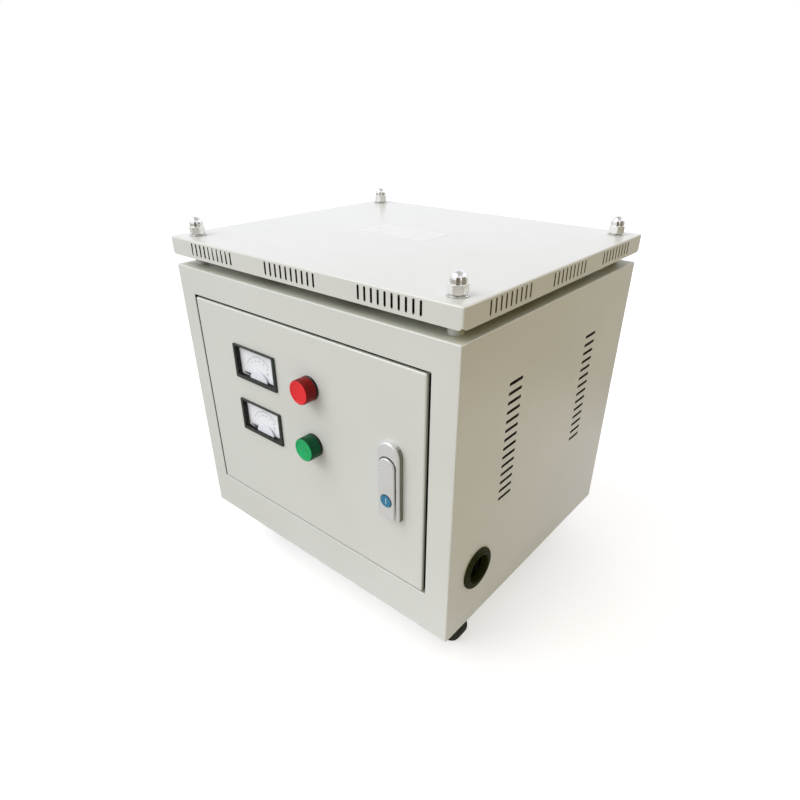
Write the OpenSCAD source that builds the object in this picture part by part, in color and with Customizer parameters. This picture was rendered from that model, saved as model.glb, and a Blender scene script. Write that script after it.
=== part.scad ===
// Three-phase autotransformer in a floor-standing sheet-steel cabinet on
// swivel casters. Millimetres, +Z up, +X to the right along the front,
// +Y towards the back. The floor is z = 0.

/* [Cabinet] */
// Width of the cabinet body
body_w = 440; // [436:1:460]
// Depth of the cabinet body
body_d = 385; // [383:1:410]
// Height of the sheet-metal body, without casters and lid
body_h = 366; // [360:1:380]
// Height of the body's bottom edge above the floor
caster_h = 66; // [66:1:70]
// Thickness of the body, door and lid sheet
sheet = 1.5; // [1.2:0.1:1.6]

/* [Lid] */
// Air gap between the body's top edge and the lid's skirt
lid_gap = 12.7; // [10:0.1:20]
// Height of the lid's skirt
lid_h = 21.6; // [20:0.1:24]
// How far the lid stands out past the body on each side
lid_over = 1.5; // [1:0.1:3]
// Distance of the lid studs from the lid's edges
stud_inset = 24; // [22:0.5:28]
// Width of one vent slot in the skirt
slot_w = 3; // [2.5:0.1:3.5]
// Number of vent slots in each group along the front and back skirt
front_slots = 10; // [6:1:10]
// Number of vent slots in each group along the side skirts
side_slots = 9; // [6:1:9]

/* [Vents] */
// Number of louvre slots in each column on the sides
louvre_count = 14; // [8:1:14]
// Vertical pitch of the louvre slots
louvre_pitch = 11; // [9:0.5:11]
// Length of one louvre slot
louvre_w = 26.4; // [20:0.2:30]
// Height of one louvre slot
louvre_h = 3.8; // [2:0.1:4]

/* [Door] */
// Left edge of the door leaf, from the body's centre
door_x0 = -190; // [-190:0.5:-189]
// Right edge of the door leaf, from the body's centre
door_x1 = 183; // [181:0.5:183]
// Door leaf's lower edge above the body's bottom edge
door_z0 = 57; // [56:0.5:58]
// Door leaf's upper edge above the body's bottom edge
door_z1 = 329; // [327:0.5:329]
// Depth of the door's folded edge
door_fold = 13.5; // [12:0.5:14]

/* [Meters and lamps] */
// Width of a meter's bezel
meter_w = 79; // [78:0.5:82]
// Height of a meter's bezel
meter_h = 45.2; // [44:0.2:48]
// How far a meter's bezel stands in front of the door
meter_proud = 2.6; // [2:0.1:3]
// Radius of a lamp's lens
lens_r = 14.8; // [14:0.1:15]
// How far a lamp's lens stands out of the door
lens_out = 17.7; // [16:0.1:18]

/* [Lock] */
// Half width of the lock housing
lock_hw = 15.6; // [15.4:0.1:16]
// Height of the lock housing in front of the door
lock_t = 7.5; // [7.2:0.1:8]
// Half width of the lever
lever_hw = 11; // [10.6:0.1:11]
// Thickness of the lever plate
lever_t = 2.4; // [2.2:0.1:2.6]

/* [Transformer] */
// Width of one limb of the core
limb = 50; // [46:1:50]
// Thickness of the lamination stack
stack = 80; // [70:1:80]
// Radial build of one winding
build = 26; // [22:1:26]

/* [Casters] */
// Radius of a caster wheel
wheel_r = 25; // [24:0.5:25]
// Width of a caster wheel
wheel_w = 21; // [18:0.5:21]
// Horizontal distance from swivel axis to wheel axle
trail = 20; // [16:0.5:20]

/* [Hidden] */
$fn = 48;
hw = body_w/2;            // 220
hd = body_d/2;            // 192.5
zb = caster_h;            // body bottom
zt = zb + body_h;         // body top
zl0 = zt + lid_gap;       // skirt bottom
zl1 = zl0 + lid_h;        // lid top
lw = hw + lid_over;
ld = hd + lid_over;
yf = -hd;                 // front face
sx = lw - stud_inset;     // lid stud positions
sy = ld - stud_inset;
// the door opening in the front frame
ox0 = door_x0 - 2; ox1 = door_x1 + 5;
dz0 = zb + door_z0; dz1 = zb + door_z1;
oz0 = dz0 - 1; oz1 = dz1 + 3;
// hinge axis: 10 mm in from the leaf's edge, 6 mm behind its face
hx = door_x0 + 10; hy = yf + 6;
hinge_z = [zb + 99, zb + 289];
// meters, lamps, lock
mx = -81.3; mz = [zb + 262.2, zb + 186.7];
px = mx + 2;              // pointer pivots
pz = [mz[0] - 15.5, mz[1] - 15.5];
win_w = 70; win_h = 36;
lx = 17; lz = [zb + 264.4, zb + 189.6];
kx = 139.5; kz = zb + 213; // lock turning axis
k_top = zb + 242; k_bot = zb + 145.2;
lev_bot = kz - 65.6; but_z = kz - 42.3; but_r = 7.8;
ly1 = yf - lock_t - 0.3;   // lever underside
ly0 = ly1 - lever_t;       // lever face
lpy = yf - 5;              // lever's lifting pin
// core
cy = 20; cz0 = zb + 24; cz1 = cz0 + 270;
win = 60;
limb_x = [-(limb + win), 0, limb + win];
cyf = cy - stack/2; cyb = cy + stack/2;
ty = -42; tz = cz1 + 12;   // terminal board
term_x = [for (i = [0:6]) -96 + 32*i];
// casters
cx = hw - 59; cyy = hd - 60.5;
// grommet on the right side
gy = -136.2; gz = zb + 76.3;
bb_x = -1.25; bb_y = 7.6;  // centres the overall box on the origin

paint = [0.84, 0.84, 0.80];
steel = [0.62, 0.62, 0.62];
copper = [0.72, 0.42, 0.24];

// ---- helpers ----
module box(a, b) { translate(a) cube([b[0]-a[0], b[1]-a[1], b[2]-a[2]]); }
// round bar along Y from y0 to y1
module ybar(x, z, r, y0, y1, fn = 48)
  translate([x, y1, z]) rotate([90, 0, 0]) cylinder(r = r, h = y1 - y0, $fn = fn);
module xbar(y, z, r, x0, x1, fn = 48)
  translate([x0, y, z]) rotate([0, 90, 0]) cylinder(r = r, h = x1 - x0, $fn = fn);
module zbar(x, y, r, z0, z1, fn = 48)
  translate([x, y, z0]) cylinder(r = r, h = z1 - z0, $fn = fn);
// hexagon by its width across flats
module hexz(x, y, af, z0, z1) zbar(x, y, af/2/cos(30), z0, z1, 6);
module hexy(x, z, af, y0, y1) ybar(x, z, af/2/cos(30), y0, y1, 6);
// rectangle with true round corners
module rrect(w, h, r) {
  square([w, h - 2*r], center = true);
  square([w - 2*r, h], center = true);
  for (i = [-1, 1], j = [-1, 1]) translate([i*(w/2 - r), j*(h/2 - r)]) circle(r = r, $fn = 40);
}
// flat plate in the XZ plane between y0 and y1
module plate_y(y0, y1) translate([0, y1, 0]) rotate([90, 0, 0]) linear_extrude(y1 - y0) children();
// round wire swept along a route whose corners are cut twice
function unit(v) = v/norm(v);
function cut(p) = concat([p[0]], [for (i = [0:len(p)-2]) each [0.75*p[i]+0.25*p[i+1], 0.25*p[i]+0.75*p[i+1]]], [p[len(p)-1]]);
function tang(p, i) = i == 0 ? unit(p[1]-p[0]) : i == len(p)-1 ? unit(p[i]-p[i-1])
  : unit(unit(p[i]-p[i-1]) + unit(p[i+1]-p[i]));
function side0(t) = unit(cross(t, abs(t[2]) < 0.9 ? [0, 0, 1] : [1, 0, 0]));
function sides(p, i, n) = i == len(p) ? [] : let (t = tang(p, i), m = unit(n - (n*t)*t)) concat([m], sides(p, i+1, m));
module wire(route, r, k = 10) {
  p = cut(cut(route));
  m = sides(p, 0, side0(tang(p, 0)));
  pts = [for (i = [0:len(p)-1], j = [0:k-1])
    p[i] + r*(cos(360*j/k)*m[i] + sin(360*j/k)*cross(tang(p, i), m[i]))];
  e = (len(p)-1)*k;
  polyhedron(pts, concat([[for (j = [0:k-1]) j]], [[for (j = [k-1:-1:0]) e+j]],
    [for (i = [0:len(p)-2], j = [0:k-1]) each [[i*k+j, (i+1)*k+(j+1)%k, i*k+(j+1)%k], [i*k+j, (i+1)*k+j, (i+1)*k+(j+1)%k]]]));
}
module corners(x, y) for (i = [-1, 1], j = [-1, 1]) translate([i*x, j*y, 0]) children();
module place() translate([bb_x, bb_y, 0]) children();

// ---- cabinet ----
module base_plate() color(paint) difference() {
  box([-hw+sheet, -hd+sheet, zb], [hw-sheet, hd-sheet, zb+2]);
  for (i = [-1, 1], j = [-1, 1], a = [-1, 1], b = [-1, 1])
    zbar(i*cx + a*23, j*cyy + b*18, 3.2, zb-1, zb+3);
  for (i = [-1, 1], y = [-50, 90]) zbar(i*130, y, 4.2, zb-1, zb+3);
  zbar(170, -100, 3.2, zb-1, zb+3);
}
module louvres(x0, x1) for (c = [-89.1, 86.5], i = [0:louvre_count-1])
  box([x0, c - louvre_w/2, zb + 152.7 + i*louvre_pitch - 0.3],
      [x1, c + louvre_w/2, zb + 152.7 + i*louvre_pitch - 0.3 + louvre_h]);
module side_panel_left() color(paint) {
  difference() {
    union() {
      box([-hw, -hd+sheet, zb], [-hw+sheet, hd-sheet, zt]);
      box([-hw+sheet, hd-2*sheet, zb+4], [-hw+22, hd-sheet, zt-4]);
    }
    louvres(-hw-1, -hw+sheet+1);
    for (z = [34, 134, 234, 334]) ybar(-hw+12, zb+z, 2.1, hd-8, hd);
  }
}
module side_panel_right() color(paint) {
  difference() {
    union() {
      box([hw-sheet, -hd+sheet, zb], [hw, hd-sheet, zt]);
      box([hw-22, hd-2*sheet, zb+4], [hw-sheet, hd-sheet, zt-4]);
    }
    louvres(hw-sheet-1, hw+1);
    xbar(gy, gz, 22, hw-sheet-1, hw+1);
    for (z = [34, 134, 234, 334]) ybar(hw-12, zb+z, 2.1, hd-8, hd);
  }
}
module back_panel() color(paint) difference() {
  box([-hw, hd-sheet, zb], [hw, hd, zt]);
  for (i = [-1, 1], z = [34, 134, 234, 334]) ybar(i*(hw-12), zb+z, 2.7, hd-5, hd+1);
}
module back_screws() color(steel) for (i = [-1, 1], z = [34, 134, 234, 334]) {
  ybar(i*(hw-12), zb+z, 2.0, hd-8, hd+0.3);
  difference() {
    ybar(i*(hw-12), zb+z, 4.6, hd, hd+2.5);
    translate([i*(hw-12), hd+2.5, zb+z]) { cube([5.6, 2, 1], center = true); cube([1, 2, 5.6], center = true); }
  }
}
module front_frame() color(paint) {
  difference() {
    box([-hw, -hd, zb], [hw, -hd+sheet, zt]);
    box([ox0, -hd-1, oz0], [ox1, -hd+sheet+1, oz1]);
  }
  // folded edge all round the door opening
  difference() {
    box([ox0-sheet, -hd+sheet, oz0-sheet], [ox1+sheet, -hd+16.5, oz1+sheet]);
    box([ox0, -hd, oz0], [ox1, -hd+20, oz1]);
  }
}
module top_frame() color(paint) difference() {
  box([-hw+sheet, -hd+sheet, zt-sheet], [hw-sheet, hd-sheet, zt]);
  box([-hw+42, -hd+42, zt-5], [hw-42, hd-42, zt+5]);
  corners(sx, sy) cylinder(r = 5.4, h = 3000, center = true);
}
module lid() color([0.90, 0.90, 0.87]) difference() {
  box([-lw, -ld, zl0], [lw, ld, zl1]);
  box([-lw+sheet, -ld+sheet, zl0-1], [lw-sheet, ld-sheet, zl1-sheet]);
  corners(sx, sy) cylinder(r = 5.4, h = 3000, center = true);
  for (g = [-138, 0, 138], i = [0:front_slots-1]) {
    x = g - 40 + i*8.44;
    box([x+0.5, -ld-1, zl0+4.1], [x+0.5+slot_w, ld+1, zl0+18.6]);
  }
  for (g = [-118, 0, 118], i = [0:side_slots-1]) {
    y = g - 37 + i*8.75;
    box([-lw-1, y+0.5, zl0+4.1], [lw+1, y+0.5+slot_w, zl0+18.6]);
  }
}
module lid_spacers() color(paint) corners(sx, sy) difference() {
  zbar(0, 0, 7.8, zt, zl1-sheet);
  zbar(0, 0, 5.3, zt-1, zl1);
}
module lid_studs() color(steel) corners(sx, sy) {
  zbar(0, 0, 4.9, zt-14, zl1+12);
  difference() { hexz(0, 0, 17, zt-10, zt-sheet); zbar(0, 0, 5, zt-11, zt); }
}
module lid_washers() color(steel) corners(sx, sy) difference() {
  zbar(0, 0, 10.5, zl1, zl1+2);
  zbar(0, 0, 5.3, zl1-1, zl1+3);
}
module lid_acorn_nuts() color([0.8, 0.8, 0.82]) corners(sx, sy) difference() {
  union() {
    intersection() {
      hexz(0, 0, 17, zl1+2, zl1+11);
      translate([0, 0, zl1+2]) cylinder(r1 = 17.3, r2 = 8.3, h = 9);
    }
    zbar(0, 0, 8, zl1+10.9, zl1+14);
    intersection() {
      translate([0, 0, zl1+14]) sphere(r = 8);
      zbar(0, 0, 9, zl1+14, zl1+23);
    }
  }
  zbar(0, 0, 5, zl1+1, zl1+14);
}
module cable_grommet() color([0.12, 0.12, 0.11])
  translate([hw - sheet/2, gy, gz]) rotate([0, 90, 0]) rotate_extrude()
    polygon([[18, -4.5], [19, -5], [24, -4.4], [25, -3.4], [25, -0.75], [21.8, -0.75],
             [21.8, 0.75], [26.5, 0.75], [26.5, 2.2], [24.6, 4.2], [22, 4.75], [19, 4.75], [18, 4]]);

// ---- transformer ----
module core_laminations() color([0.30, 0.31, 0.34]) difference() {
  box([limb_x[0]-limb/2, cyf, cz0], [limb_x[2]+limb/2, cyb, cz1]);
  for (i = [-1, 1]) box([i*(limb+win)/2-win/2, cyf-1, cz0+limb], [i*(limb+win)/2+win/2, cyb+1, cz1-limb]);
  for (x = limb_x, z = [cz0+25, cz1-25]) ybar(x, z, 4.5, cyf-1, cyb+1);
}
module coil(i) color(copper) translate([limb_x[i], cy, cz0+limb+5]) linear_extrude(160) difference() {
  rrect(limb+2+2*build-0.6, stack+2+2*build, 14);
  rrect(limb+3.2, stack+3.2, 1.5);
}
module coil_a() coil(0);
module coil_b() coil(1);
module coil_c() coil(2);
module coil_formers() color([0.82, 0.78, 0.64]) for (x = limb_x) translate([x, cy, cz0+limb]) difference() {
  union() {
    translate([0, 0, 2]) linear_extrude(3) rrect(limb+2+2*build+1, stack+2*build+4, 5);
    translate([0, 0, 165]) linear_extrude(3) rrect(limb+2+2*build+1, stack+2*build+4, 5);
    translate([0, 0, 2]) linear_extrude(166) rrect(limb+3, stack+3, 1.5);
  }
  translate([0, 0, 85]) cube([limb+0.6, stack+0.6, 200], center = true);
}
module core_clamps_upper() color(steel) for (s = [-1, 1]) difference() {
  union() {
    box([-150, s < 0 ? cyf-4 : cyb, cz1-42], [150, s < 0 ? cyf : cyb+4, cz1]);
    box([-150, s < 0 ? cyf-35 : cyb, cz1-3], [150, s < 0 ? cyf : cyb+35, cz1]);
  }
  for (x = limb_x) ybar(x, cz1-25, 4.5, cyf-10, cyb+10);
}
module core_clamps_lower() color(steel) for (s = [-1, 1]) difference() {
  union() {
    box([-150, s < 0 ? cyf-4 : cyb, zb+2], [150, s < 0 ? cyf : cyb+4, cz0+45]);
    box([-150, s < 0 ? cyf-44 : cyb, zb+2], [150, s < 0 ? cyf : cyb+44, zb+6]);
  }
  for (x = limb_x) ybar(x, cz0+25, 4.5, cyf-10, cyb+10);
  for (x = [-130, 130], y = [-50, 90]) zbar(x, y, 4.2, zb, zb+9);
}
module clamp_bolts() color(steel) for (x = limb_x, z = [cz0+25, cz1-25]) {
  ybar(x, z, 4, cyf-14, cyb+4.2);
  hexy(x, z, 13, cyb+4, cyb+9.3);
  difference() { hexy(x, z, 13, cyf-10.5, cyf-4); ybar(x, z, 4.1, cyf-11, cyf-3); }
}
module foot_bolts() color(steel) for (x = [-130, 130], y = [-50, 90]) {
  zbar(x, y, 4, zb-0.2, zb+16);
  hexz(x, y, 13, zb-5.3, zb);
  difference() { hexz(x, y, 13, zb+6, zb+12.5); zbar(x, y, 4.1, zb+5, zb+13); }
}
module terminal_board() color([0.20, 0.13, 0.09]) difference() {
  union() {
    box([-130, ty-20, tz], [130, ty+20, tz+8]);
    for (s = [-1, 1]) box([s*124-6, ty-10, cz1], [s*124+6, ty+16, tz]);
    for (i = [0:5]) box([-81+32*i, ty-20, tz+8], [-79+32*i, ty+20, tz+22]);
  }
  for (x = term_x) zbar(x, ty, 4.1, tz-1, tz+9);
}
module terminal_studs() color([0.80, 0.65, 0.30]) for (x = term_x) {
  zbar(x, ty, 3.6, tz-8.5, tz+25);
  zbar(x, ty, 4, tz+24.5, tz+38);
  difference() { hexz(x, ty, 13, tz-6.5, tz); zbar(x, ty, 3.65, tz-7, tz+1); }
  difference() { hexz(x, ty, 13, tz+8, tz+14.5); zbar(x, ty, 3.65, tz+7, tz+15); }
  difference() { hexz(x, ty, 13, tz+17, tz+23.5); zbar(x, ty, 3.65, tz+16, tz+24); }
}
module winding_leads() color(copper) for (i = [0:6]) {
  x = term_x[i];
  c = i < 6 ? limb_x[floor(i/2)] + (i % 2 == 0 ? -18 : 18) : limb_x[2] + 40;
  difference() { box([x-6.5, ty-17, tz+14.5], [x+6.5, ty+7, tz+17]); zbar(x, ty, 4.2, tz+14, tz+18); }
  wire([[c, -38, cz1-50], [c, -40, cz1-40], [c, -64, cz1-28], [x, -71, cz1+2],
        [x, -71, tz+10], [x, ty-15, tz+15.75]], 1.24 + (i < 6 ? 1.5 : 1.1));
}
module cabinet_loom() color([0.10, 0.10, 0.11])
  wire([[hx, hy, zb+196.3], [hx, hy, zb+222], [hx+9, hy, zb+229], [hx+22, hy+1, zb+231], [hx+30, hy+36, zb+262],
        [hx+34, hy+80, zb+300], [hx+50, ty-10, tz+16], [-140, ty, tz+16], [-133, ty, tz+12]], 3);
module hinge_brackets() color(steel) for (z = hinge_z) translate([hx, hy, z-6]) difference() {
  union() {
    cylinder(r = 4, h = 12);
    translate([1, 0, 0]) cube([3, 17, 12]);
    translate([-16.5, 14, 0]) cube([20.5, 3, 12]);
    translate([-16.5, -4.5, 0]) cube([3, 21.5, 12]);
    translate([-28, -4.5, -8]) cube([14.5, 3, 28]);
  }
  translate([0, 0, -1]) cylinder(r = 2.05, h = 14);
}
module caster_plates() color(steel) corners(cx, cyy) {
  difference() {
    union() {
      translate([0, 0, zb-2.5]) linear_extrude(2.5) rrect(60, 50, 5);
      zbar(0, 0, 5, zb-13.1, zb-2);
      zbar(0, 0, 7, zb-15.4, zb-13.1);
    }
    for (a = [-1, 1], b = [-1, 1]) zbar(a*23, b*18, 3.2, zb-5, zb+1);
  }
  for (a = [-1, 1], b = [-1, 1]) {
    zbar(a*23, b*18, 3, zb-3, zb+8);
    hexz(a*23, b*18, 10, zb-6.5, zb-2.5);
    difference() { hexz(a*23, b*18, 10, zb+2, zb+7); zbar(a*23, b*18, 3.1, zb+1, zb+8); }
  }
}
module earth_stud() color([0.80, 0.65, 0.30]) {
  zbar(170, -100, 2.6, zb-4, zb+9);
  zbar(170, -100, 3, zb+8, zb+24);
  hexz(170, -100, 10, zb-4, zb);
  difference() { hexz(170, -100, 10, zb+2, zb+7); zbar(170, -100, 2.65, zb+1, zb+8); }
}

// ---- door ----
module door_panel() color(paint) difference() {
  box([door_x0, yf, dz0], [door_x1, yf+sheet+door_fold, dz1]);
  box([door_x0+sheet, yf+sheet, dz0+sheet], [door_x1-sheet, yf+30, dz1-sheet]);
  for (z = hinge_z) box([door_x0-1, yf+sheet, z-8.5], [door_x0+sheet+0.5, yf+30, z+8.5]);
  for (z = mz) box([mx-36.5, yf-1, z-20], [mx+36.5, yf+5, z+20]);
  for (z = lz) ybar(lx, z, 11.2, yf-1, yf+5);
  ybar(kx, kz, 9.2, yf-1, yf+5);
}
module hinge_leaves() color(steel) for (z = hinge_z) translate([hx, hy, z]) difference() {
  union() {
    for (s = [-1, 1]) translate([0, 0, s < 0 ? -18 : 6.3]) {
      cylinder(r = 4, h = 11.7);
      translate([0, -4.5, 0]) cube([6, 3, 11.7]);
    }
    translate([5.5, -4.5, -18]) cube([18.5, 1.5, 36]);
  }
  translate([0, 0, -20]) cylinder(r = 2, h = 40);
}
module hinge_pins() color([0.75, 0.75, 0.75]) for (z = hinge_z) translate([hx, hy, z]) {
  translate([0, 0, -19.5]) cylinder(r = 2, h = 39);
  translate([0, 0, 18]) cylinder(r = 3.2, h = 1.6);
}
module lock_outline() {
  translate([kx, k_top-15.6+0.0]) circle(r = lock_hw);
  polygon([[kx-lock_hw, k_top-15.6], [kx-lock_hw, k_bot+4], [kx-lock_hw+3.5, k_bot],
           [kx+lock_hw-3.5, k_bot], [kx+lock_hw, k_bot+4], [kx+lock_hw, k_top-15.6]]);
}
module lock_housing() color([0.86, 0.86, 0.87]) difference() {
  union() {
    plate_y(yf-lock_t, yf) lock_outline();
    ybar(kx, kz, 9, yf-0.2, yf+14);
  }
  ybar(kx, kz, 12.5, yf-20, yf-0.8);
  box([kx-11.9, yf-20, k_bot-5], [kx+11.9, yf-0.8, kz]);
  ybar(kx, kz, 6.06, yf-10, yf+20);
}
module lock_nut() color(steel) difference() {
  hexy(kx, kz, 26, yf+sheet, yf+8);
  ybar(kx, kz, 9.05, yf, yf+10);
}
module lock_rotor() color([0.70, 0.70, 0.72]) {
  difference() {
    union() {
      ybar(kx, kz, 8, yf-2.4, yf-0.95);
      ybar(kx, kz, 6, yf-2.4, yf+27);
      for (s = [-1, 1]) {
        xbar(lpy, kz, 2.3, kx+s*5.4-1.2, kx+s*5.4+1.2);
        box([kx+s*5.4-1.2, lpy, kz-2.3], [kx+s*5.4+1.2, yf-1.5, kz+2.3]);
      }
    }
    xbar(lpy, kz, 1.25, kx-10, kx+10);
  }
  xbar(lpy, kz, 1.25, kx-6.9, kx+6.9);
  // latch cam behind the door, pointing to the frame edge
  difference() {
    union() {
      ybar(kx, kz, 9, yf+20.5, yf+23.5);
      box([kx, yf+20.5, kz-7], [kx+47, yf+23.5, kz+7]);
    }
    ybar(kx, kz, 6, yf+20, yf+24);
  }
  difference() { hexy(kx, kz, 19, yf+23.5, yf+26.5); ybar(kx, kz, 6, yf+23, yf+28); }
}
module lock_lever() color([0.88, 0.88, 0.89]) difference() {
  union() {
    plate_y(ly0, ly1) {
      translate([kx, kz]) circle(r = lever_hw);
      polygon([[kx-lever_hw, kz], [kx-lever_hw, lev_bot+1.2], [kx-lever_hw+1.2, lev_bot],
               [kx+lever_hw-1.2, lev_bot], [kx+lever_hw, lev_bot+1.2], [kx+lever_hw, kz]]);
    }
    xbar(lpy, kz, 2.3, kx-3.9, kx+3.9);
    box([kx-3.9, ly1-0.2, kz-2.3], [kx+3.9, lpy, kz+2.3]);
  }
  xbar(lpy, kz, 1.3, kx-5, kx+5);
  ybar(kx, but_z, but_r+0.25, ly0-2, ly1+2);
}
module lock_button() color([0.10, 0.42, 0.66]) difference() {
  ybar(kx, but_z, but_r, ly0-0.6, ly1-0.05);
  box([kx-0.8, ly0-2, but_z-4.6], [kx+0.8, ly0+0.6, but_z+4.6]);
}
module door_loom() color([0.10, 0.10, 0.11]) {
  wire([[hx, hy, zb+196], [hx, hy, zb+152], [hx+8, hy, zb+145], [-150, hy, zb+141], [lx, hy, zb+141],
        [lx+24, hy+6, zb+150], [lx+26, hy+30, zb+185]], 3);
  wire([[lx+26, hy+28, zb+182], [lx+26, hy+30, zb+262], [lx+20, yf+43, lz[0]-6]], 1.5);
  wire([[mx+14, hy, zb+141], [mx+14, hy+38, zb+150], [mx+14, yf+50.7, mz[1]-12]], 1.5);
  wire([[mx-50, hy, zb+141], [mx-50, hy+30, zb+160], [mx-50, hy+40, mz[0]-10], [mx-14, yf+50.7, mz[0]-10]], 1.5);
}
// panel meter: bezel and case in one moulding, open window at the front
module meter_case(z) color([0.10, 0.11, 0.10]) difference() {
  union() {
    plate_y(yf-meter_proud, yf) translate([mx, z]) rrect(meter_w, meter_h, 1.2);
    box([mx-36, yf-0.1, z-19.5], [mx+36, yf+40, z+19.5]);
  }
  box([mx-win_w/2, yf-10, z-win_h/2], [mx+win_w/2, yf+38, z+win_h/2]);
}
module meter_glass(z) color([0.85, 0.92, 0.95, 0.3])
  box([mx-win_w/2, yf-1.9, z-win_h/2], [mx+win_w/2, yf-0.7, z+win_h/2]);
module meter_dial(z, p) color([0.97, 0.97, 0.98]) difference() {
  box([mx-win_w/2, yf+4.2, z-win_h/2], [mx+win_w/2, yf+5, z+win_h/2]);
  ybar(px, p, 1.58, yf, yf+7);
}
// moving-coil movement: magnet yoke with a bore for the arbor, two terminals
module meter_movement(z, p) color([0.5, 0.5, 0.52]) {
  difference() {
    union() {
      ybar(px, p+12, 13, yf+9, yf+24);
      box([px-14, yf+6, z-17], [px+14, yf+9, z+12]);
      box([px-6, yf+9, z-17], [px+6, yf+24, z+2]);
    }
    ybar(px, p, 1.58, yf+5, yf+25);
  }
  for (s = [-1, 1]) {
    difference() { ybar(mx+s*14, z-10, 3, yf+36, yf+49); ybar(mx+s*14, z-10, 1, yf+46, yf+50); }
  }
}
module needle(p) color([0.85, 0.15, 0.10]) {
  ybar(px, p, 1.5, yf+1.8, yf+18);
  // pointer rests 3 degrees above level, to the left
  translate([px, yf+2.0, p]) rotate([0, 3, 0]) {
    translate([-31, 0, -0.35]) cube([31, 0.5, 0.7]);
  }
}
module meter_upper_case() difference() { meter_case(mz[0]); meter_posts(mz[0]); }
module meter_lower_case() difference() { meter_case(mz[1]); meter_posts(mz[1]); }
module meter_posts(z) for (s = [-1, 1]) ybar(mx+s*14, z-10, 3, yf+30, yf+45);
module meter_upper_glass() meter_glass(mz[0]);
module meter_lower_glass() meter_glass(mz[1]);
module meter_upper_dial() meter_dial(mz[0], pz[0]);
module meter_lower_dial() meter_dial(mz[1], pz[1]);
module meter_upper_movement() meter_movement(mz[0], pz[0]);
module meter_lower_movement() meter_movement(mz[1], pz[1]);
module meter_upper_needle() needle(pz[0]);
module meter_lower_needle() needle(pz[1]);
// lens: hollow cup with a flat face
module lens(z) translate([lx, yf-2, z]) rotate([90, 0, 0]) rotate_extrude()
  polygon([[0, lens_out-2], [lens_r-1.4, lens_out-2], [lens_r-0.2, lens_out-3], [lens_r, lens_out-5],
           [lens_r, 0], [lens_r-1.6, 0], [lens_r-1.8, lens_out-5.4], [lens_r-3, lens_out-3.8], [0, lens_out-3.8]]);
module lamp_red_lens() color([0.86, 0.10, 0.12]) lens(lz[0]);
module lamp_green_lens() color([0.05, 0.60, 0.35]) lens(lz[1]);
module lamp_bezels() color([0.12, 0.10, 0.10]) for (z = lz) difference() {
  union() { ybar(lx, z, 15.3, yf-2, yf); ybar(lx, z, 12.6, yf-5, yf-1); ybar(lx, z, 11, yf-2, yf+22); }
  ybar(lx, z, 9, yf-10, yf+30);
}
module lamp_bodies() color([0.20, 0.20, 0.21]) for (z = lz) {
  // locking nut, lamp block with its light source, terminal block
  difference() { hexy(lx, z, 27, yf+sheet, yf+6.5); ybar(lx, z, 11.05, yf, yf+10); }
  ybar(lx, z, 8.9, yf-4, yf+22);
  box([lx-13, yf+22, z-14], [lx+13, yf+42, z+14]);
}

// ---- casters: at rest the front wheels trail to +X, the rear ones to -X ----
module fork(i, j) color(steel) translate([i*cx, j*cyy, 0]) rotate([0, 0, j > 0 ? 180 : 0]) {
  difference() {
    union() {
      zbar(0, 0, 18, zb-10, zb-2.8);
      translate([0, 0, zb-13]) linear_extrude(3.1) union() { circle(r = 18); translate([4, 0]) square([24, 28.4], center = true); }
      for (s = [-1, 1]) translate([0, s*13+1.2, 0]) rotate([90, 0, 0]) linear_extrude(2.4) {
        translate([trail, wheel_r]) circle(r = 8);
        polygon([[-8, zb-10], [-8, zb-14], [trail-7.2, wheel_r-3.5], [trail+7.4, wheel_r+3], [16, zb-12], [16, zb-10]]);
      }
    }
    zbar(0, 0, 5.05, zb-20, zb);
    ybar(trail, wheel_r, 4, -30, 30);
  }
  ybar(trail, wheel_r, 4, -15.5, 15.5);
  hexy(trail, wheel_r, 11, -18, -14.3);
  difference() { hexy(trail, wheel_r, 11, 14.3, 18.5); ybar(trail, wheel_r, 4, 14, 20); }
}
module wheel(i, j) color([0.08, 0.08, 0.08]) translate([i*cx - j*trail, j*cyy, wheel_r])
  rotate([90, 0, 0]) rotate_extrude($fn = 72)
    polygon([[4.05, -11], [8, -11], [8, -7], [16, -6], [18, -wheel_w/2+1], [wheel_r-1.5, -wheel_w/2],
             [wheel_r, -wheel_w/2+1.5], [wheel_r, wheel_w/2-1.5], [wheel_r-1.5, wheel_w/2], [18, wheel_w/2-1],
             [16, 6], [8, 7], [8, 11], [4.05, 11]]);
module caster_fork_fl() fork(-1, -1);
module caster_fork_fr() fork(1, -1);
module caster_fork_rl() fork(-1, 1);
module caster_fork_rr() fork(1, 1);
module caster_wheel_fl() wheel(-1, -1);
module caster_wheel_fr() wheel(1, -1);
module caster_wheel_rl() wheel(-1, 1);
module caster_wheel_rr() wheel(1, 1);

place() base_plate();
place() side_panel_left();
place() side_panel_right();
place() back_panel();
place() back_screws();
place() front_frame();
place() top_frame();
place() lid();
place() lid_spacers();
place() lid_studs();
place() lid_washers();
place() lid_acorn_nuts();
place() cable_grommet();
place() core_laminations();
place() coil_a();
place() coil_b();
place() coil_c();
place() coil_formers();
place() core_clamps_upper();
place() core_clamps_lower();
place() clamp_bolts();
place() foot_bolts();
place() terminal_board();
place() terminal_studs();
place() winding_leads();
place() cabinet_loom();
place() hinge_brackets();
place() caster_plates();
place() earth_stud();
place() door_panel();
place() hinge_leaves();
place() hinge_pins();
place() lock_housing();
place() lock_nut();
place() door_loom();
place() meter_upper_case();
place() meter_upper_glass();
place() meter_upper_dial();
place() meter_upper_movement();
place() meter_lower_case();
place() meter_lower_glass();
place() meter_lower_dial();
place() meter_lower_movement();
place() lamp_red_lens();
place() lamp_green_lens();
place() lamp_bezels();
place() lamp_bodies();
place() meter_upper_needle();
place() meter_lower_needle();
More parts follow.
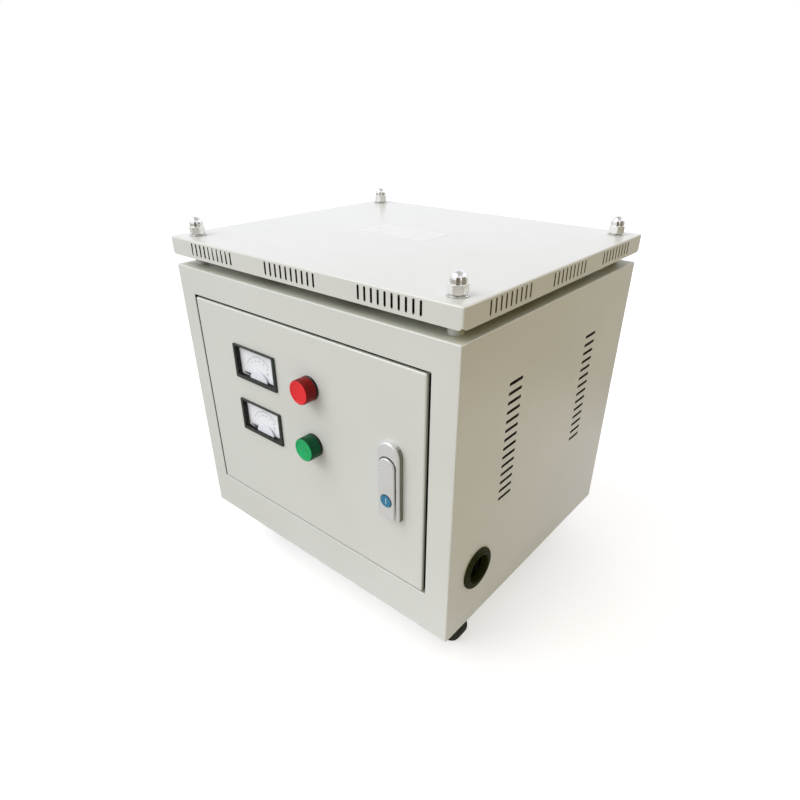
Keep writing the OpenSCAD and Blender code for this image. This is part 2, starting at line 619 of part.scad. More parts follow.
place() lock_rotor();
place() lock_lever();
place() lock_button();
place() caster_fork_fl();
place() caster_fork_fr();
place() caster_fork_rl();
place() caster_fork_rr();
place() caster_wheel_fl();
place() caster_wheel_fr();
place() caster_wheel_rl();
place() caster_wheel_rr();
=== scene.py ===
import bpy, bmesh, math
from mathutils import Vector, Matrix
from mathutils.geometry import tessellate_polygon


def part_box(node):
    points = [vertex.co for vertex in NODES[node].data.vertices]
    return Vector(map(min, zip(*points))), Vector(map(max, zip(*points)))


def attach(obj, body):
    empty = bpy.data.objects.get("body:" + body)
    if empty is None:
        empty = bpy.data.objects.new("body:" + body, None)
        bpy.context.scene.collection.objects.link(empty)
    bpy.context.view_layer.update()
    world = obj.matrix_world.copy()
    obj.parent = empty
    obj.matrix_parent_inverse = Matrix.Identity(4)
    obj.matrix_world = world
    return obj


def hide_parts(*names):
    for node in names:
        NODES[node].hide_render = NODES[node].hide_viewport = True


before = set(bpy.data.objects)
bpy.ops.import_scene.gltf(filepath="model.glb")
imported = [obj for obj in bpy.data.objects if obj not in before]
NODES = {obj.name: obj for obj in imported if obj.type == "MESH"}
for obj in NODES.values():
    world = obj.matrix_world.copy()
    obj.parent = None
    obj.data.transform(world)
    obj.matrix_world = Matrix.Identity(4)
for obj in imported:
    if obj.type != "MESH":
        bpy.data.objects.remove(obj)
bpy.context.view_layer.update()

# ---------------------------------------------------------------- dimensions, mm
HW, HD, ZB, ZT = 220.0, 192.5, 66.0, 432.0
YF = -HD
ZL0, ZL1, LW, LD = 444.7, 466.3, 221.5, 194.0
SX, SY = 197.5, 170.0
MX, MZ = -81.3, (328.2, 252.7)
LX, LZ = 17.0, (330.4, 255.7)
KX, KZ = 139.5, 279.0
GY, GZ = -136.2, 142.3
_lo, _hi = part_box("front_frame")
OX = _lo[0] * 1000 + HW
OY = _lo[1] * 1000 + HD


def P(v):
    return Vector(((v[0] + OX) / 1000, (v[1] + OY) / 1000, v[2] / 1000))


# ---------------------------------------------------------------- 2D outlines
def arc(cx, cy, r, a0, a1, n):
    """n + 1 points from angle a0 to a1, degrees."""
    return [(cx + r * math.cos(math.radians(a0 + (a1 - a0) * i / n)),
             cy + r * math.sin(math.radians(a0 + (a1 - a0) * i / n))) for i in range(n + 1)]


def circle(cx, cy, r, n=48):
    return [(cx + r * math.cos(2 * math.pi * i / n), cy + r * math.sin(2 * math.pi * i / n)) for i in range(n)]


def rrect(cx, cy, w, h, r=0.0, n=5):
    if r <= 0:
        return [(cx - w / 2, cy - h / 2), (cx + w / 2, cy - h / 2), (cx + w / 2, cy + h / 2), (cx - w / 2, cy + h / 2)]
    out = []
    for sx, sy, a in ((1, -1, -90), (1, 1, 0), (-1, 1, 90), (-1, -1, 180)):
        out += arc(cx + sx * (w / 2 - r), cy + sy * (h / 2 - r), r, a, a + 90, n)
    return out


def edge_round(r, n=4):
    """Profile of a rounded front edge: (distance into the material, depth)."""
    return [(r * (1 - math.sin(math.radians(90 * i / n))), -r * (1 - math.cos(math.radians(90 * i / n))), 1)
            for i in range(n + 1)]


def offset_loop(pts, dist):
    n, out = len(pts), []
    for i in range(n):
        p0, p1, p2 = Vector(pts[i - 1]), Vector(pts[i]), Vector(pts[(i + 1) % n])
        d1, d2 = dist[i - 1], dist[i]
        t1, t2 = (p1 - p0).normalized(), (p2 - p1).normalized()
        n1, n2 = Vector((-t1.y, t1.x)), Vector((-t2.y, t2.x))
        den = t1.x * t2.y - t1.y * t2.x
        if abs(den) < 0.4 and t1.dot(t2) > 0:
            nb = (n1 + n2).normalized()
            out.append(p1 + nb * ((d1 + d2) / 2 / nb.dot(n1)))
        else:
            w = n2 * d2 - n1 * d1
            out.append(p1 + n1 * d1 + t1 * ((w.x * t2.y - w.y * t2.x) / den))
    return out


# ---------------------------------------------------------------- solids into a bmesh
def add(bm, verts, faces, mi=0, merge=2e-5):
    vs = [bm.verts.new(v) for v in verts]
    fs = []
    for f in faces:
        try:
            fc = bm.faces.new([vs[i] for i in f])
        except ValueError:
            continue
        fc.material_index = mi
        fs.append(fc)
    if merge:
        bmesh.ops.remove_doubles(bm, verts=vs, dist=merge)
    fs = [f for f in fs if f.is_valid]
    thin = [f for f in fs if f.calc_area() < 1e-9]
    if thin:
        es = list({e for f in thin for e in f.edges})
        bmesh.ops.dissolve_degenerate(bm, edges=es, dist=1e-4)
    fs = [f for f in fs if f.is_valid]
    bmesh.ops.recalc_face_normals(bm, faces=fs)
    return fs


def plate(bm, T, outer, profile, holes=(), scale=None, mi=0):
    """A closed sheet solid. outer is anticlockwise; each hole is (points, profile). profile runs from the front
    face round the edge to the back face as (into the material, depth, 1 if it belongs to the rounded edge)."""
    loops = [(list(outer), profile, scale or [1.0] * len(outer))]
    for pts, prof in holes:
        loops.append((list(reversed(pts)), prof, [1.0] * len(pts)))
    verts, faces, front, back = [], [], [], []
    for pts, prof, sc in loops:
        n, base = len(pts), len(verts)
        for q in prof:
            d, w = q[0], q[1]
            k = q[2] if len(q) > 2 else 0
            ds = [d * (s if k else 1) for s in sc]
            ring = offset_loop(pts, ds)
            for i, p in enumerate(ring):
                s = max(sc[i - 1], sc[i]) if k else 1
                verts.append((p.x, p.y, w * s))
        for j in range(len(prof) - 1):
            for i in range(n):
                a, b = base + j * n + i, base + j * n + (i + 1) % n
                faces.append((a, b, b + n, a + n))
        front.append((base, n))
        back.append((base + (len(prof) - 1) * n, n))
    for which in (front, back):
        idx = [b + i for b, n in which for i in range(n)]
        polys = [[Vector((verts[b + i][0], verts[b + i][1], 0)) for i in range(n)] for b, n in which]
        for t in tessellate_polygon(polys):
            faces.append(tuple(idx[i] for i in t))
    return add(bm, [T(*v) for v in verts], faces, mi)


def lathe(bm, T, prof, n=48, closed=False, mi=0):
    """prof is (radius, height along the axis); T takes (x, y, height)."""
    m, verts, faces = len(prof), [], []
    for i in range(n):
        a = 2 * math.pi * i / n
        c, s = math.cos(a), math.sin(a)
        verts += [T(r * c, r * s, h) for r, h in prof]
    for i in range(n):
        for j in range(m if closed else m - 1):
            k = (j + 1) % m
            a, b = i * m, ((i + 1) % n) * m
            faces.append((a + j, b + j, b + k, a + k))
    return add(bm, verts, faces, mi)


def hexnut(bm, T, af, h0, h1, rin, mi=0, both=True, per=10):
    """Hexagon with chamfered corners and rounded arrises; rin is the bore's radius, or 0 for a bolt head."""
    n = 6 * per
    rc = af / 2 * 0.965
    verts, faces = [], []
    cols = []
    for i in range(n):
        a = 2 * math.pi * i / n
        b = (a + math.pi / 6) % (math.pi / 3) - math.pi / 6
        r = min(af / 2 / math.cos(b), af / 2 / math.cos(math.pi / 6) * 0.988)
        drop = max(0.0, r - rc) * math.tan(math.radians(30))
        col = [(rin, h0), (rc, h0)] + ([(r, h0 + drop)] if both else [(r, h0)])
        col += [(r, h1 - drop), (rc, h1), (rin, h1)]
        cols.append([(q * math.cos(a), q * math.sin(a), h) for q, h in col])
    m = len(cols[0])
    for c in cols:
        verts += [T(*p) for p in c]
    for i in range(n):
        a, b = i * m, ((i + 1) % n) * m
        for j in range(m if rin > 0 else m - 1):
            k = (j + 1) % m
            faces.append((a + j, b + j, b + k, a + k))
    return add(bm, verts, faces, mi)


def rbox(bm, a, b, r=0.5, mi=0, n=2, rc=None):
    """Box with rounded edges between two corners."""
    T = lambda u, v, w: (u, v, b[2] + w)
    rr = r if rc is None else rc
    h = b[2] - a[2]
    prof = edge_round(r, n) + [(d, -h - w, 0) for d, w, _ in reversed(edge_round(r, n))]
    return plate(bm, T, rrect((a[0] + b[0]) / 2, (a[1] + b[1]) / 2, b[0] - a[0], b[1] - a[1], max(rr, r + 0.01), n + 1), prof, mi=mi)


def tube(bm, pts, r, k=12, mi=0, sub=4):
    """Round wire on a smooth curve through the points."""
    p = [Vector(q) for q in pts]
    q = [2 * p[0] - p[1]] + p + [2 * p[-1] - p[-2]]
    path = []
    for i in range(1, len(q) - 2):
        for s in range(sub):
            t = s / sub
            path.append(0.5 * ((2 * q[i]) + (q[i + 1] - q[i - 1]) * t + (2 * q[i - 1] - 5 * q[i] + 4 * q[i + 1] - q[i + 2]) * t * t
                               + (3 * q[i] - q[i - 1] - 3 * q[i + 1] + q[i + 2]) * t ** 3))
    path.append(p[-1])
    verts, faces, nrm = [], [], None
    for i, c in enumerate(path):
        t = (path[min(i + 1, len(path) - 1)] - path[max(i - 1, 0)]).normalized()
        if nrm is None:
            nrm = t.cross(Vector((0, 0, 1)) if abs(t.z) < 0.9 else Vector((1, 0, 0)))
        nrm = (nrm - t * nrm.dot(t)).normalized()
        bn = t.cross(nrm)
        for j in range(k):
            a = 2 * math.pi * j / k
            verts.append(c + (nrm * math.cos(a) + bn * math.sin(a)) * r)
    for i in range(len(path) - 1):
        for j in range(k):
            faces.append((i * k + j, i * k + (j + 1) % k, (i + 1) * k + (j + 1) % k, (i + 1) * k + j))
    e = (len(path) - 1) * k
    faces += [tuple(range(k)), tuple(range(e + k - 1, e - 1, -1))]
    return add(bm, verts, faces, mi)


def tmp_object(bm, name):
    me = bpy.data.meshes.new(name)
    bm.to_mesh(me)
    bm.free()
    ob = bpy.data.objects.new(name, me)
    bpy.context.scene.collection.objects.link(ob)
    return ob


def carve(bm, cutter):
    """bm minus cutter, both in mm; returns a new bmesh."""
    a, b = tmp_object(bm, "tmp_a"), tmp_object(cutter, "tmp_b")
    md = a.modifiers.new("cut", "BOOLEAN")
    md.operation, md.solver, md.object = "DIFFERENCE", "EXACT", b
    dg = bpy.context.evaluated_depsgraph_get()
    me = bpy.data.meshes.new_from_object(a.evaluated_get(dg))
    out = bmesh.new()
    out.from_mesh(me)
    for o in (a, b):
        d = o.data
        bpy.data.objects.remove(o)
        bpy.data.meshes.remove(d)
    bpy.data.meshes.remove(me)
    bmesh.ops.remove_doubles(out, verts=out.verts, dist=1e-4)
    return out


def text_solid(bm, body, size, T, thick=0.04, mi=0):
    cu = bpy.data.curves.new("tmp_text", "FONT")
    cu.body, cu.size, cu.extrude = body, size, thick / 2
    cu.align_x, cu.align_y, cu.resolution_u = "CENTER", "CENTER", 3
    ob = bpy.data.objects.new("tmp_text", cu)
    bpy.context.scene.collection.objects.link(ob)
    dg = bpy.context.evaluated_depsgraph_get()
    me = bpy.data.meshes.new_from_object(ob.evaluated_get(dg))
    vs = [T(v.co.x, v.co.y, v.co.z) for v in me.vertices]
    fs = [tuple(p.vertices) for p in me.polygons]
    bpy.data.objects.remove(ob)
    bpy.data.curves.remove(cu)
    bpy.data.meshes.remove(me)
    return add(bm, vs, fs, mi)


# frames: front outwards is -Y, back is +Y, right +X, left -X, up +Z
def front(y0):
    return lambda u, v, w: (u, y0 - w, v)


def rear(y0):
    return lambda u, v, w: (u, y0 + w, v)


def right(x0):
    return lambda u, v, w: (x0 + w, u, v)


def left(x0):
    return lambda u, v, w: (x0 - w, u, v)


def top(z0):
    return lambda u, v, w: (u, v, z0 + w)


def at(cx, cy, cz, axis):
    """Lathe frames: the height runs along +axis or -axis from the point."""
    if axis == "z":
        return lambda x, y, h: (cx + x, cy + y, cz + h)
    if axis == "-y":
        return lambda x, y, h: (cx + x, cy - h, cz + y)
    if axis == "y":
        return lambda x, y, h: (cx + x, cy + h, cz + y)
    return lambda x, y, h: (cx + h, cy + x, cz + y)


def piece(name, bm, mats, body, rep=(), angle=32):
    for v in bm.verts:
        v.co = P(v.co)
    for f in bm.faces:
        f.smooth = True
    lim = math.radians(angle)
    for e in bm.edges:
        if len(e.link_faces) != 2 or e.calc_face_angle(0.0) > lim:
            e.smooth = False
    me = bpy.data.meshes.new(name)
    bm.to_mesh(me)
    bm.free()
    ob = bpy.data.objects.new(name, me)
    bpy.context.scene.collection.objects.link(ob)
    for m in mats if isinstance(mats, (list, tuple)) else [mats]:
        me.materials.append(m)
    wn = ob.modifiers.new("normals", "WEIGHTED_NORMAL")
    wn.keep_sharp = True
    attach(ob, body)
    if rep:
        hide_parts(*rep)
    return ob


def inner_faces(bm, test, mi=1):
    """Second material on the faces whose centre passes the test."""
    for f in bm.faces:
        if test(f.calc_center_median()):
            f.material_index = mi


# ---------------------------------------------------------------- materials
def tex(nt, kind, **kw):
    n = nt.nodes.new(kind)
    for k, v in kw.items():
        if k in n.inputs:
            n.inputs[k].default_value = v
        else:
            setattr(n, k, v)
    return n


def material(name, col, col2=None, vary=30.0, rough=0.4, rvar=0.06, rscale=90.0, metal=0.0, bumps=(),
             coat=0.0, coat_rough=0.1, spec=0.5, trans=0.0, ior=1.5, alpha=1.0, sss=0.0, aniso=0.0, dirt=None):
    """Principled material whose colour and roughness drift over the surface, with layered bump.
    bumps: (kind, scale, distance in metres, strength, stretch)."""
    m = bpy.data.materials.new(name)
    m.use_nodes = True
    nt = m.node_tree
    bs = nt.nodes["Principled BSDF"]
    bs.inputs["Metallic"].default_value = metal
    bs.inputs["Specular IOR Level"].default_value = spec
    bs.inputs["Coat Weight"].default_value = coat
    bs.inputs["Coat Roughness"].default_value = coat_rough
    bs.inputs["Transmission Weight"].default_value = trans
    bs.inputs["IOR"].default_value = ior
    bs.inputs["Alpha"].default_value = alpha
    bs.inputs["Subsurface Weight"].default_value = sss
    bs.inputs["Anisotropic"].default_value = aniso
    if sss:
        bs.inputs["Subsurface Radius"].default_value = (0.006, 0.003, 0.003)
        bs.inputs["Subsurface Scale"].default_value = 1.0
    co = nt.nodes.new("ShaderNodeTexCoord")
    ns = tex(nt, "ShaderNodeTexNoise", Scale=vary, Detail=4.0, Roughness=0.55)
    nt.links.new(co.outputs["Object"], ns.inputs["Vector"])
    c2 = col2 or tuple(c * 0.9 for c in col)
    mr = tex(nt, "ShaderNodeMapRange")
    mr.inputs["From Min"].default_value, mr.inputs["From Max"].default_value = 0.32, 0.68
    nt.links.new(ns.outputs["Fac"], mr.inputs["Value"])
    mx = nt.nodes.new("ShaderNodeMix")
    mx.data_type = "RGBA"
    mx.inputs["A"].default_value = (*col, 1)
    mx.inputs["B"].default_value = (*c2, 1)
    nt.links.new(mr.outputs["Result"], mx.inputs["Factor"])
    src = mx.outputs["Result"]
    if dirt:
        # darker film in small scattered patches
        n2 = tex(nt, "ShaderNodeTexNoise", Scale=dirt[0], Detail=6.0, Roughness=0.7)
        nt.links.new(co.outputs["Object"], n2.inputs["Vector"])
        m2 = tex(nt, "ShaderNodeMapRange")
        m2.inputs["From Min"].default_value, m2.inputs["From Max"].default_value = 0.56, 0.78
        m2.inputs["To Max"].default_value = dirt[1]
        nt.links.new(n2.outputs["Fac"], m2.inputs["Value"])
        mx2 = nt.nodes.new("ShaderNodeMix")
        mx2.data_type = "RGBA"
        mx2.inputs["B"].default_value = (*dirt[2], 1)
        nt.links.new(m2.outputs["Result"], mx2.inputs["Factor"])
        nt.links.new(src, mx2.inputs["A"])
        src = mx2.outputs["Result"]
    nt.links.new(src, bs.inputs["Base Color"])
    nr = tex(nt, "ShaderNodeTexNoise", Scale=rscale, Detail=3.0)
    nt.links.new(co.outputs["Object"], nr.inputs["Vector"])
    rr = tex(nt, "ShaderNodeMapRange")
    rr.inputs["From Min"].default_value, rr.inputs["From Max"].default_value = 0.3, 0.7
    rr.inputs["To Min"].default_value, rr.inputs["To Max"].default_value = max(rough - rvar, 0.01), rough + rvar
    nt.links.new(nr.outputs["Fac"], rr.inputs["Value"])
    nt.links.new(rr.outputs["Result"], bs.inputs["Roughness"])
    prev = None
    for b in bumps:
        kind, sc, dist, st = b[:4]
        vec = co.outputs["Object"]
        if len(b) > 4:
            mp = nt.nodes.new("ShaderNodeMapping")
            mp.inputs["Scale"].default_value = b[4]
            nt.links.new(vec, mp.inputs["Vector"])
            vec = mp.outputs["Vector"]
        if kind == "noise":
            t = tex(nt, "ShaderNodeTexNoise", Scale=sc, Detail=2.0)
            h = t.outputs["Fac"]
        elif kind == "voronoi":
            t = tex(nt, "ShaderNodeTexVoronoi", Scale=sc)
            h = t.outputs["Distance"]
        else:
            t = tex(nt, "ShaderNodeTexWave", Scale=sc)
            t.wave_type, t.bands_direction = "BANDS", kind[-1].upper()
            h = t.outputs["Fac"]
        nt.links.new(vec, t.inputs["Vector"])
        bp = nt.nodes.new("ShaderNodeBump")
        bp.inputs["Strength"].default_value = st
        bp.inputs["Distance"].default_value = dist
        nt.links.new(h, bp.inputs["Height"])
        if prev:
            nt.links.new(prev, bp.inputs["Normal"])
        prev = bp.outputs["Normal"]
    if prev:
        nt.links.new(prev, bs.inputs["Normal"])
    return m


PAINT = material("powder_coat", (0.655, 0.662, 0.622), (0.628, 0.635, 0.592), vary=7, rough=0.36, rvar=0.05, rscale=35,
                 bumps=(("noise", 900, 0.00006, 0.35), ("noise", 9, 0.0005, 0.08)), coat=0.32, coat_rough=0.14)
PAINT_LID = material("powder_coat_lid", (0.648, 0.654, 0.612), (0.634, 0.640, 0.597), vary=6, rough=0.33, rvar=0.03, rscale=30,
                     bumps=(("noise", 900, 0.00006, 0.32), ("noise", 8, 0.0003, 0.06)), coat=0.32, coat_rough=0.14)
# darker copy of the body paint: painted shade for inner faces, fold walls and the base plate
PAINT_INSIDE_SHADE = material("powder_coat_painted_inside_shade", (0.47, 0.475, 0.42), (0.43, 0.435, 0.38), vary=9, rough=0.48, rvar=0.06, rscale=30,
                    bumps=(("noise", 800, 0.00006, 0.4),))
# lighter, yellower copy of the body paint: painted light on the top frame, which sits in the lid's shade
PAINT_TOP_LIFTED = material("powder_coat_top_frame_painted_light", (0.73, 0.74, 0.62), (0.69, 0.70, 0.58), vary=9, rough=0.45, rvar=0.06, rscale=30,
                     bumps=(("noise", 800, 0.00006, 0.4),))
# dark olive copy of the body paint: painted shade under the lid
PAINT_UNDER_LID_SHADE = material("powder_coat_painted_under_lid_shade", (0.205, 0.200, 0.070), (0.170, 0.166, 0.058), vary=9, rough=0.55, rvar=0.06, rscale=30,
                     bumps=(("noise", 800, 0.00006, 0.4),))
# near-black: painted shade in slots, louvres and the gaps round the door
PAINT_BLACK_SHADE = material("powder_coat_painted_slot_shade", (0.016, 0.015, 0.009), (0.011, 0.010, 0.006), vary=9, rough=0.6, rvar=0.06, rscale=30, spec=0.08,
                     bumps=(("noise", 800, 0.00006, 0.4),))
# olive-brown: painted shade in the slots of the lid's side skirts
PAINT_OLIVE_SHADE = material("powder_coat_painted_side_slot_shade", (0.22, 0.185, 0.085), (0.18, 0.15, 0.07), vary=9, rough=0.6, rvar=0.06, rscale=30, spec=0.15,
                      bumps=(("noise", 800, 0.00006, 0.4),))
ZINC = material("zinc_plate", (0.60, 0.61, 0.60), (0.50, 0.51, 0.50), vary=120, rough=0.34, rvar=0.1, rscale=260, metal=1.0,
                bumps=(("noise", 500, 0.00004, 0.4),))
BOLT = material("zinc_bolt", (0.66, 0.66, 0.64), (0.54, 0.54, 0.50), vary=200, rough=0.28, rvar=0.08, rscale=300, metal=1.0,
                bumps=(("noise", 900, 0.00003, 0.4),))
CHROME = material("bright_chrome", (0.80, 0.79, 0.775), (0.74, 0.725, 0.70), vary=90, rough=0.11, rvar=0.04, rscale=150, metal=1.0,
                  bumps=(("noise", 220, 0.00003, 0.15),))
# darker copies of the satin silver: painted shade on the lock rim's right wall
SILVER_DARK_SHADE = material("satin_silver_painted_shade", (0.22, 0.22, 0.19), (0.19, 0.19, 0.165), vary=40, rough=0.42, rvar=0.03, rscale=80, spec=0.3,
                      bumps=(("noise", 1600, 0.00001, 0.3),))
SILVER_HALF_SHADE = material("satin_silver_painted_half_shade", (0.42, 0.42, 0.40), (0.38, 0.38, 0.36), vary=40, rough=0.38, rvar=0.03, rscale=80, spec=0.4,
                      bumps=(("noise", 1600, 0.00001, 0.3),))
FLATS = material("chrome_flats", (0.86, 0.86, 0.84), (0.80, 0.80, 0.78), vary=90, rough=0.26, rvar=0.05, rscale=150, metal=0.62,
                 bumps=(("noise", 400, 0.00003, 0.2),))
SILVER = material("satin_silver", (0.70, 0.705, 0.705), (0.675, 0.68, 0.68), vary=40, rough=0.30, rvar=0.03, rscale=80, metal=0.30,
                  bumps=(("noise", 1600, 0.00001, 0.3),), coat=0.5, coat_rough=0.26)
RUBBER = material("black_rubber", (0.026, 0.030, 0.006), (0.018, 0.021, 0.004), vary=120, rough=0.50, spec=0.06, rvar=0.08, rscale=160,
                  bumps=(("noise", 700, 0.00008, 0.5),))
TREAD = material("wheel_tread", (0.014, 0.014, 0.009), (0.022, 0.022, 0.015), vary=90, rough=0.55, spec=0.15, rvar=0.1, rscale=120,
                 bumps=(("noise", 900, 0.00008, 0.5),))
HUB = material("wheel_hub", (0.045, 0.045, 0.043), (0.03, 0.03, 0.03), vary=60, rough=0.4, rvar=0.05, rscale=90,
               bumps=(("noise", 1200, 0.00004, 0.4),))
BEZEL = material("meter_case", (0.026, 0.033, 0.026), (0.020, 0.025, 0.020), vary=80, rough=0.36, rvar=0.05, rscale=140, spec=0.32,
                 bumps=(("noise", 1500, 0.00003, 0.35),))
# darker copy of the case colour: painted shade inside the window recess
BEZEL_RECESS_SHADE = material("meter_case_painted_recess_shade", (0.006, 0.008, 0.006), (0.004, 0.005, 0.004), vary=80, rough=0.5, rvar=0.05, rscale=140, spec=0.12,
                    bumps=(("noise", 1500, 0.00003, 0.35),))
BLACK = material("black_plastic", (0.016, 0.014, 0.012), (0.011, 0.010, 0.009), vary=80, rough=0.38, rvar=0.06, rscale=140, spec=0.25,
                 bumps=(("noise", 1500, 0.00003, 0.4),))
GLASS = material("clear_glass", (0.10, 0.11, 0.12), (0.09, 0.10, 0.11), vary=20, rough=0.06, rvar=0.02, rscale=20, alpha=0.03, spec=1.0,
                 coat=1.0, coat_rough=0.04)
DIAL = material("dial_white", (0.97, 0.985, 1.0), (0.95, 0.97, 1.0), vary=20, rough=0.45, rvar=0.03, rscale=40,
                bumps=(("noise", 900, 0.00002, 0.2),))
INK = material("dial_ink", (0.16, 0.16, 0.19), (0.12, 0.12, 0.15), vary=200, rough=0.6, rvar=0.03, rscale=100)
INK_GREY = material("dial_ink_fine", (0.50, 0.51, 0.56), (0.43, 0.44, 0.50), vary=200, rough=0.6, rvar=0.03, rscale=100)
COVER = material("pivot_cover", (0.88, 0.90, 0.95), (0.85, 0.87, 0.93), vary=50, rough=0.30, rvar=0.04, rscale=60,
                 bumps=(("noise", 900, 0.00002, 0.2),))
NEEDLE = material("needle_black", (0.02, 0.018, 0.03), (0.03, 0.025, 0.035), vary=200, rough=0.4, rvar=0.05, rscale=90)
RED = material("red_lens", (0.78, 0.018, 0.026), (0.70, 0.012, 0.020), vary=70, rough=0.30, rvar=0.05, rscale=60, spec=0.3,
               bumps=(("noise", 240, 0.00005, 0.25),), coat=0.08, coat_rough=0.12)
GREEN = material("green_lens", (0.002, 0.42, 0.125), (0.001, 0.35, 0.10), vary=70, rough=0.30, rvar=0.05, rscale=60, spec=0.3,
                 bumps=(("noise", 240, 0.00005, 0.25),), coat=0.08, coat_rough=0.12)
# darker copies of the lens colours: painted shade on the lenses' sides and rims
RED_LENS_SHADE = material("red_lens_painted_shade", (0.21, 0.004, 0.004), (0.15, 0.004, 0.004), vary=70, rough=0.30, rvar=0.05, rscale=60, spec=0.12,
                    bumps=(("noise", 240, 0.00005, 0.25),), coat=0.05, coat_rough=0.10)
GREEN_LENS_SHADE = material("green_lens_painted_shade", (0.001, 0.080, 0.027), (0.001, 0.055, 0.019), vary=70, rough=0.30, rvar=0.05, rscale=60, spec=0.12,
                      bumps=(("noise", 240, 0.00005, 0.25),), coat=0.05, coat_rough=0.10)
BLUE = material("blue_plastic", (0.028, 0.195, 0.335), (0.020, 0.155, 0.285), vary=90, rough=0.3, rvar=0.05, rscale=100,
                bumps=(("noise", 1200, 0.00003, 0.3),))
WHITE = material("white_insert", (0.36, 0.60, 0.72), (0.30, 0.54, 0.66), vary=90, rough=0.35, rvar=0.05, rscale=100)
LABEL = material("blank_label", (0.745, 0.747, 0.722), (0.700, 0.702, 0.680), vary=45, rough=0.38, rvar=0.07, rscale=60,
                 bumps=(("noise", 260, 0.00005, 0.3),))
CORE = material("core_steel", (0.060, 0.066, 0.082), (0.040, 0.043, 0.052), vary=45, rough=0.40, rvar=0.10, rscale=110, metal=0.35,
                bumps=(("wave_y", 628, 0.00025, 0.7), ("noise", 160, 0.0001, 0.3)), dirt=(60, 0.5, (0.16, 0.10, 0.06)))
COIL = material("varnished_winding", (0.34, 0.125, 0.035), (0.24, 0.08, 0.022), vary=60, rough=0.24, rvar=0.08, rscale=120,
                bumps=(("noise", 320, 0.0001, 0.3),), coat=0.6, coat_rough=0.12, metal=0.25)
TAPE = material("winding_tape", (0.62, 0.56, 0.42), (0.52, 0.46, 0.33), vary=90, rough=0.62, rvar=0.08, rscale=120,
                bumps=(("wave_x", 420, 0.00008, 0.5), ("wave_z", 420, 0.00008, 0.5)))
FIBRE = material("glass_fibre", (0.62, 0.56, 0.36), (0.52, 0.46, 0.28), vary=130, rough=0.42, rvar=0.06, rscale=120,
                 bumps=(("wave_x", 500, 0.00005, 0.4), ("wave_y", 500, 0.00005, 0.4)))
BOARD = material("phenolic_board", (0.10, 0.042, 0.020), (0.065, 0.028, 0.014), vary=90, rough=0.34, rvar=0.06, rscale=90,
                 bumps=(("noise", 500, 0.00005, 0.4),), coat=0.2, coat_rough=0.15)
BRASS = material("brass_hardware", (0.70, 0.50, 0.20), (0.55, 0.38, 0.14), vary=180, rough=0.24, rvar=0.08, rscale=200, metal=1.0,
                 bumps=(("noise", 800, 0.00003, 0.4),))
COPPER = material("copper", (0.72, 0.33, 0.17), (0.58, 0.25, 0.12), vary=150, rough=0.26, rvar=0.08, rscale=200, metal=1.0,
                  bumps=(("noise", 500, 0.00004, 0.4),))
SLEEVE = material("wire_sleeve", (0.025, 0.025, 0.027), (0.035, 0.035, 0.037), vary=120, rough=0.42, rvar=0.06, rscale=160,
                  bumps=(("wave_x", 260, 0.0002, 0.4),))


def floor_material():
    """Pale floor. What the lens sees is lifted a little by an even glow; the light it throws back is a painted pool,
    bright near the object and darker away from it.
    """
    m = bpy.data.materials.new("studio_floor")
    m.use_nodes = True
    nt = m.node_tree
    for nd in list(nt.nodes):
        nt.nodes.remove(nd)
    co = nt.nodes.new("ShaderNodeTexCoord")
    ln = nt.nodes.new("ShaderNodeVectorMath")
    ln.operation = "DISTANCE"
    ln.inputs[1].default_value = (0.42, 0.10, 0.0)
    nt.links.new(co.outputs["Object"], ln.inputs[0])
    mr = tex(nt, "ShaderNodeMapRange")
    mr.interpolation_type = "SMOOTHSTEP"
    mr.inputs["From Min"].default_value, mr.inputs["From Max"].default_value = 0.30, 0.72
    nt.links.new(ln.outputs["Value"], mr.inputs["Value"])
    # painted pool of light: bright floor colour near the object, darker further off, used only for the light the floor
    # throws back
    painted_pool = nt.nodes.new("ShaderNodeMix")
    painted_pool.data_type = "RGBA"
    painted_pool.inputs["A"].default_value = (0.92, 0.93, 0.98, 1)
    painted_pool.inputs["B"].default_value = (0.45, 0.44, 0.40, 1)
    nt.links.new(mr.outputs["Result"], painted_pool.inputs["Factor"])
    lp = nt.nodes.new("ShaderNodeLightPath")
    far = nt.nodes.new("ShaderNodeBsdfDiffuse")
    nt.links.new(painted_pool.outputs["Result"], far.inputs["Color"])
    seen = nt.nodes.new("ShaderNodeBsdfDiffuse")
    seen.inputs["Color"].default_value = (0.60, 0.60, 0.60, 1)
    lift = nt.nodes.new("ShaderNodeEmission")
    lift.inputs["Color"].default_value = (1, 1, 1, 1)
    lift.inputs["Strength"].default_value = 0.56
    both = nt.nodes.new("ShaderNodeAddShader")
    nt.links.new(seen.outputs[0], both.inputs[0])
    nt.links.new(lift.outputs[0], both.inputs[1])
    mx = nt.nodes.new("ShaderNodeMixShader")
    nt.links.new(lp.outputs["Is Camera Ray"], mx.inputs["Fac"])
    nt.links.new(far.outputs[0], mx.inputs[1])
    nt.links.new(both.outputs[0], mx.inputs[2])
    out = nt.nodes.new("ShaderNodeOutputMaterial")
    nt.links.new(mx.outputs[0], out.inputs["Surface"])
    return m


FLOOR = floor_material()

# ---------------------------------------------------------------- camera
cam = bpy.data.objects.new("camera", bpy.data.cameras.new("camera"))
bpy.context.scene.collection.objects.link(cam)
AZ, EL = math.radians(40.28), math.radians(29.98)
look = Vector((-math.sin(AZ) * math.cos(EL), math.cos(AZ) * math.cos(EL), -math.sin(EL)))
cam.location = P((482.5, -583.8, 615.3))
cam.rotation_mode = "QUATERNION"
cam.rotation_quaternion = look.to_track_quat("-Z", "Y")
cam.data.sensor_width = 36
cam.data.lens = 26.346
cam.data.shift_y = 0.04325
cam.data.clip_start = 0.01
bpy.context.scene.camera = cam

# ---------------------------------------------------------------- cabinet sheet metal
TS = 1.5
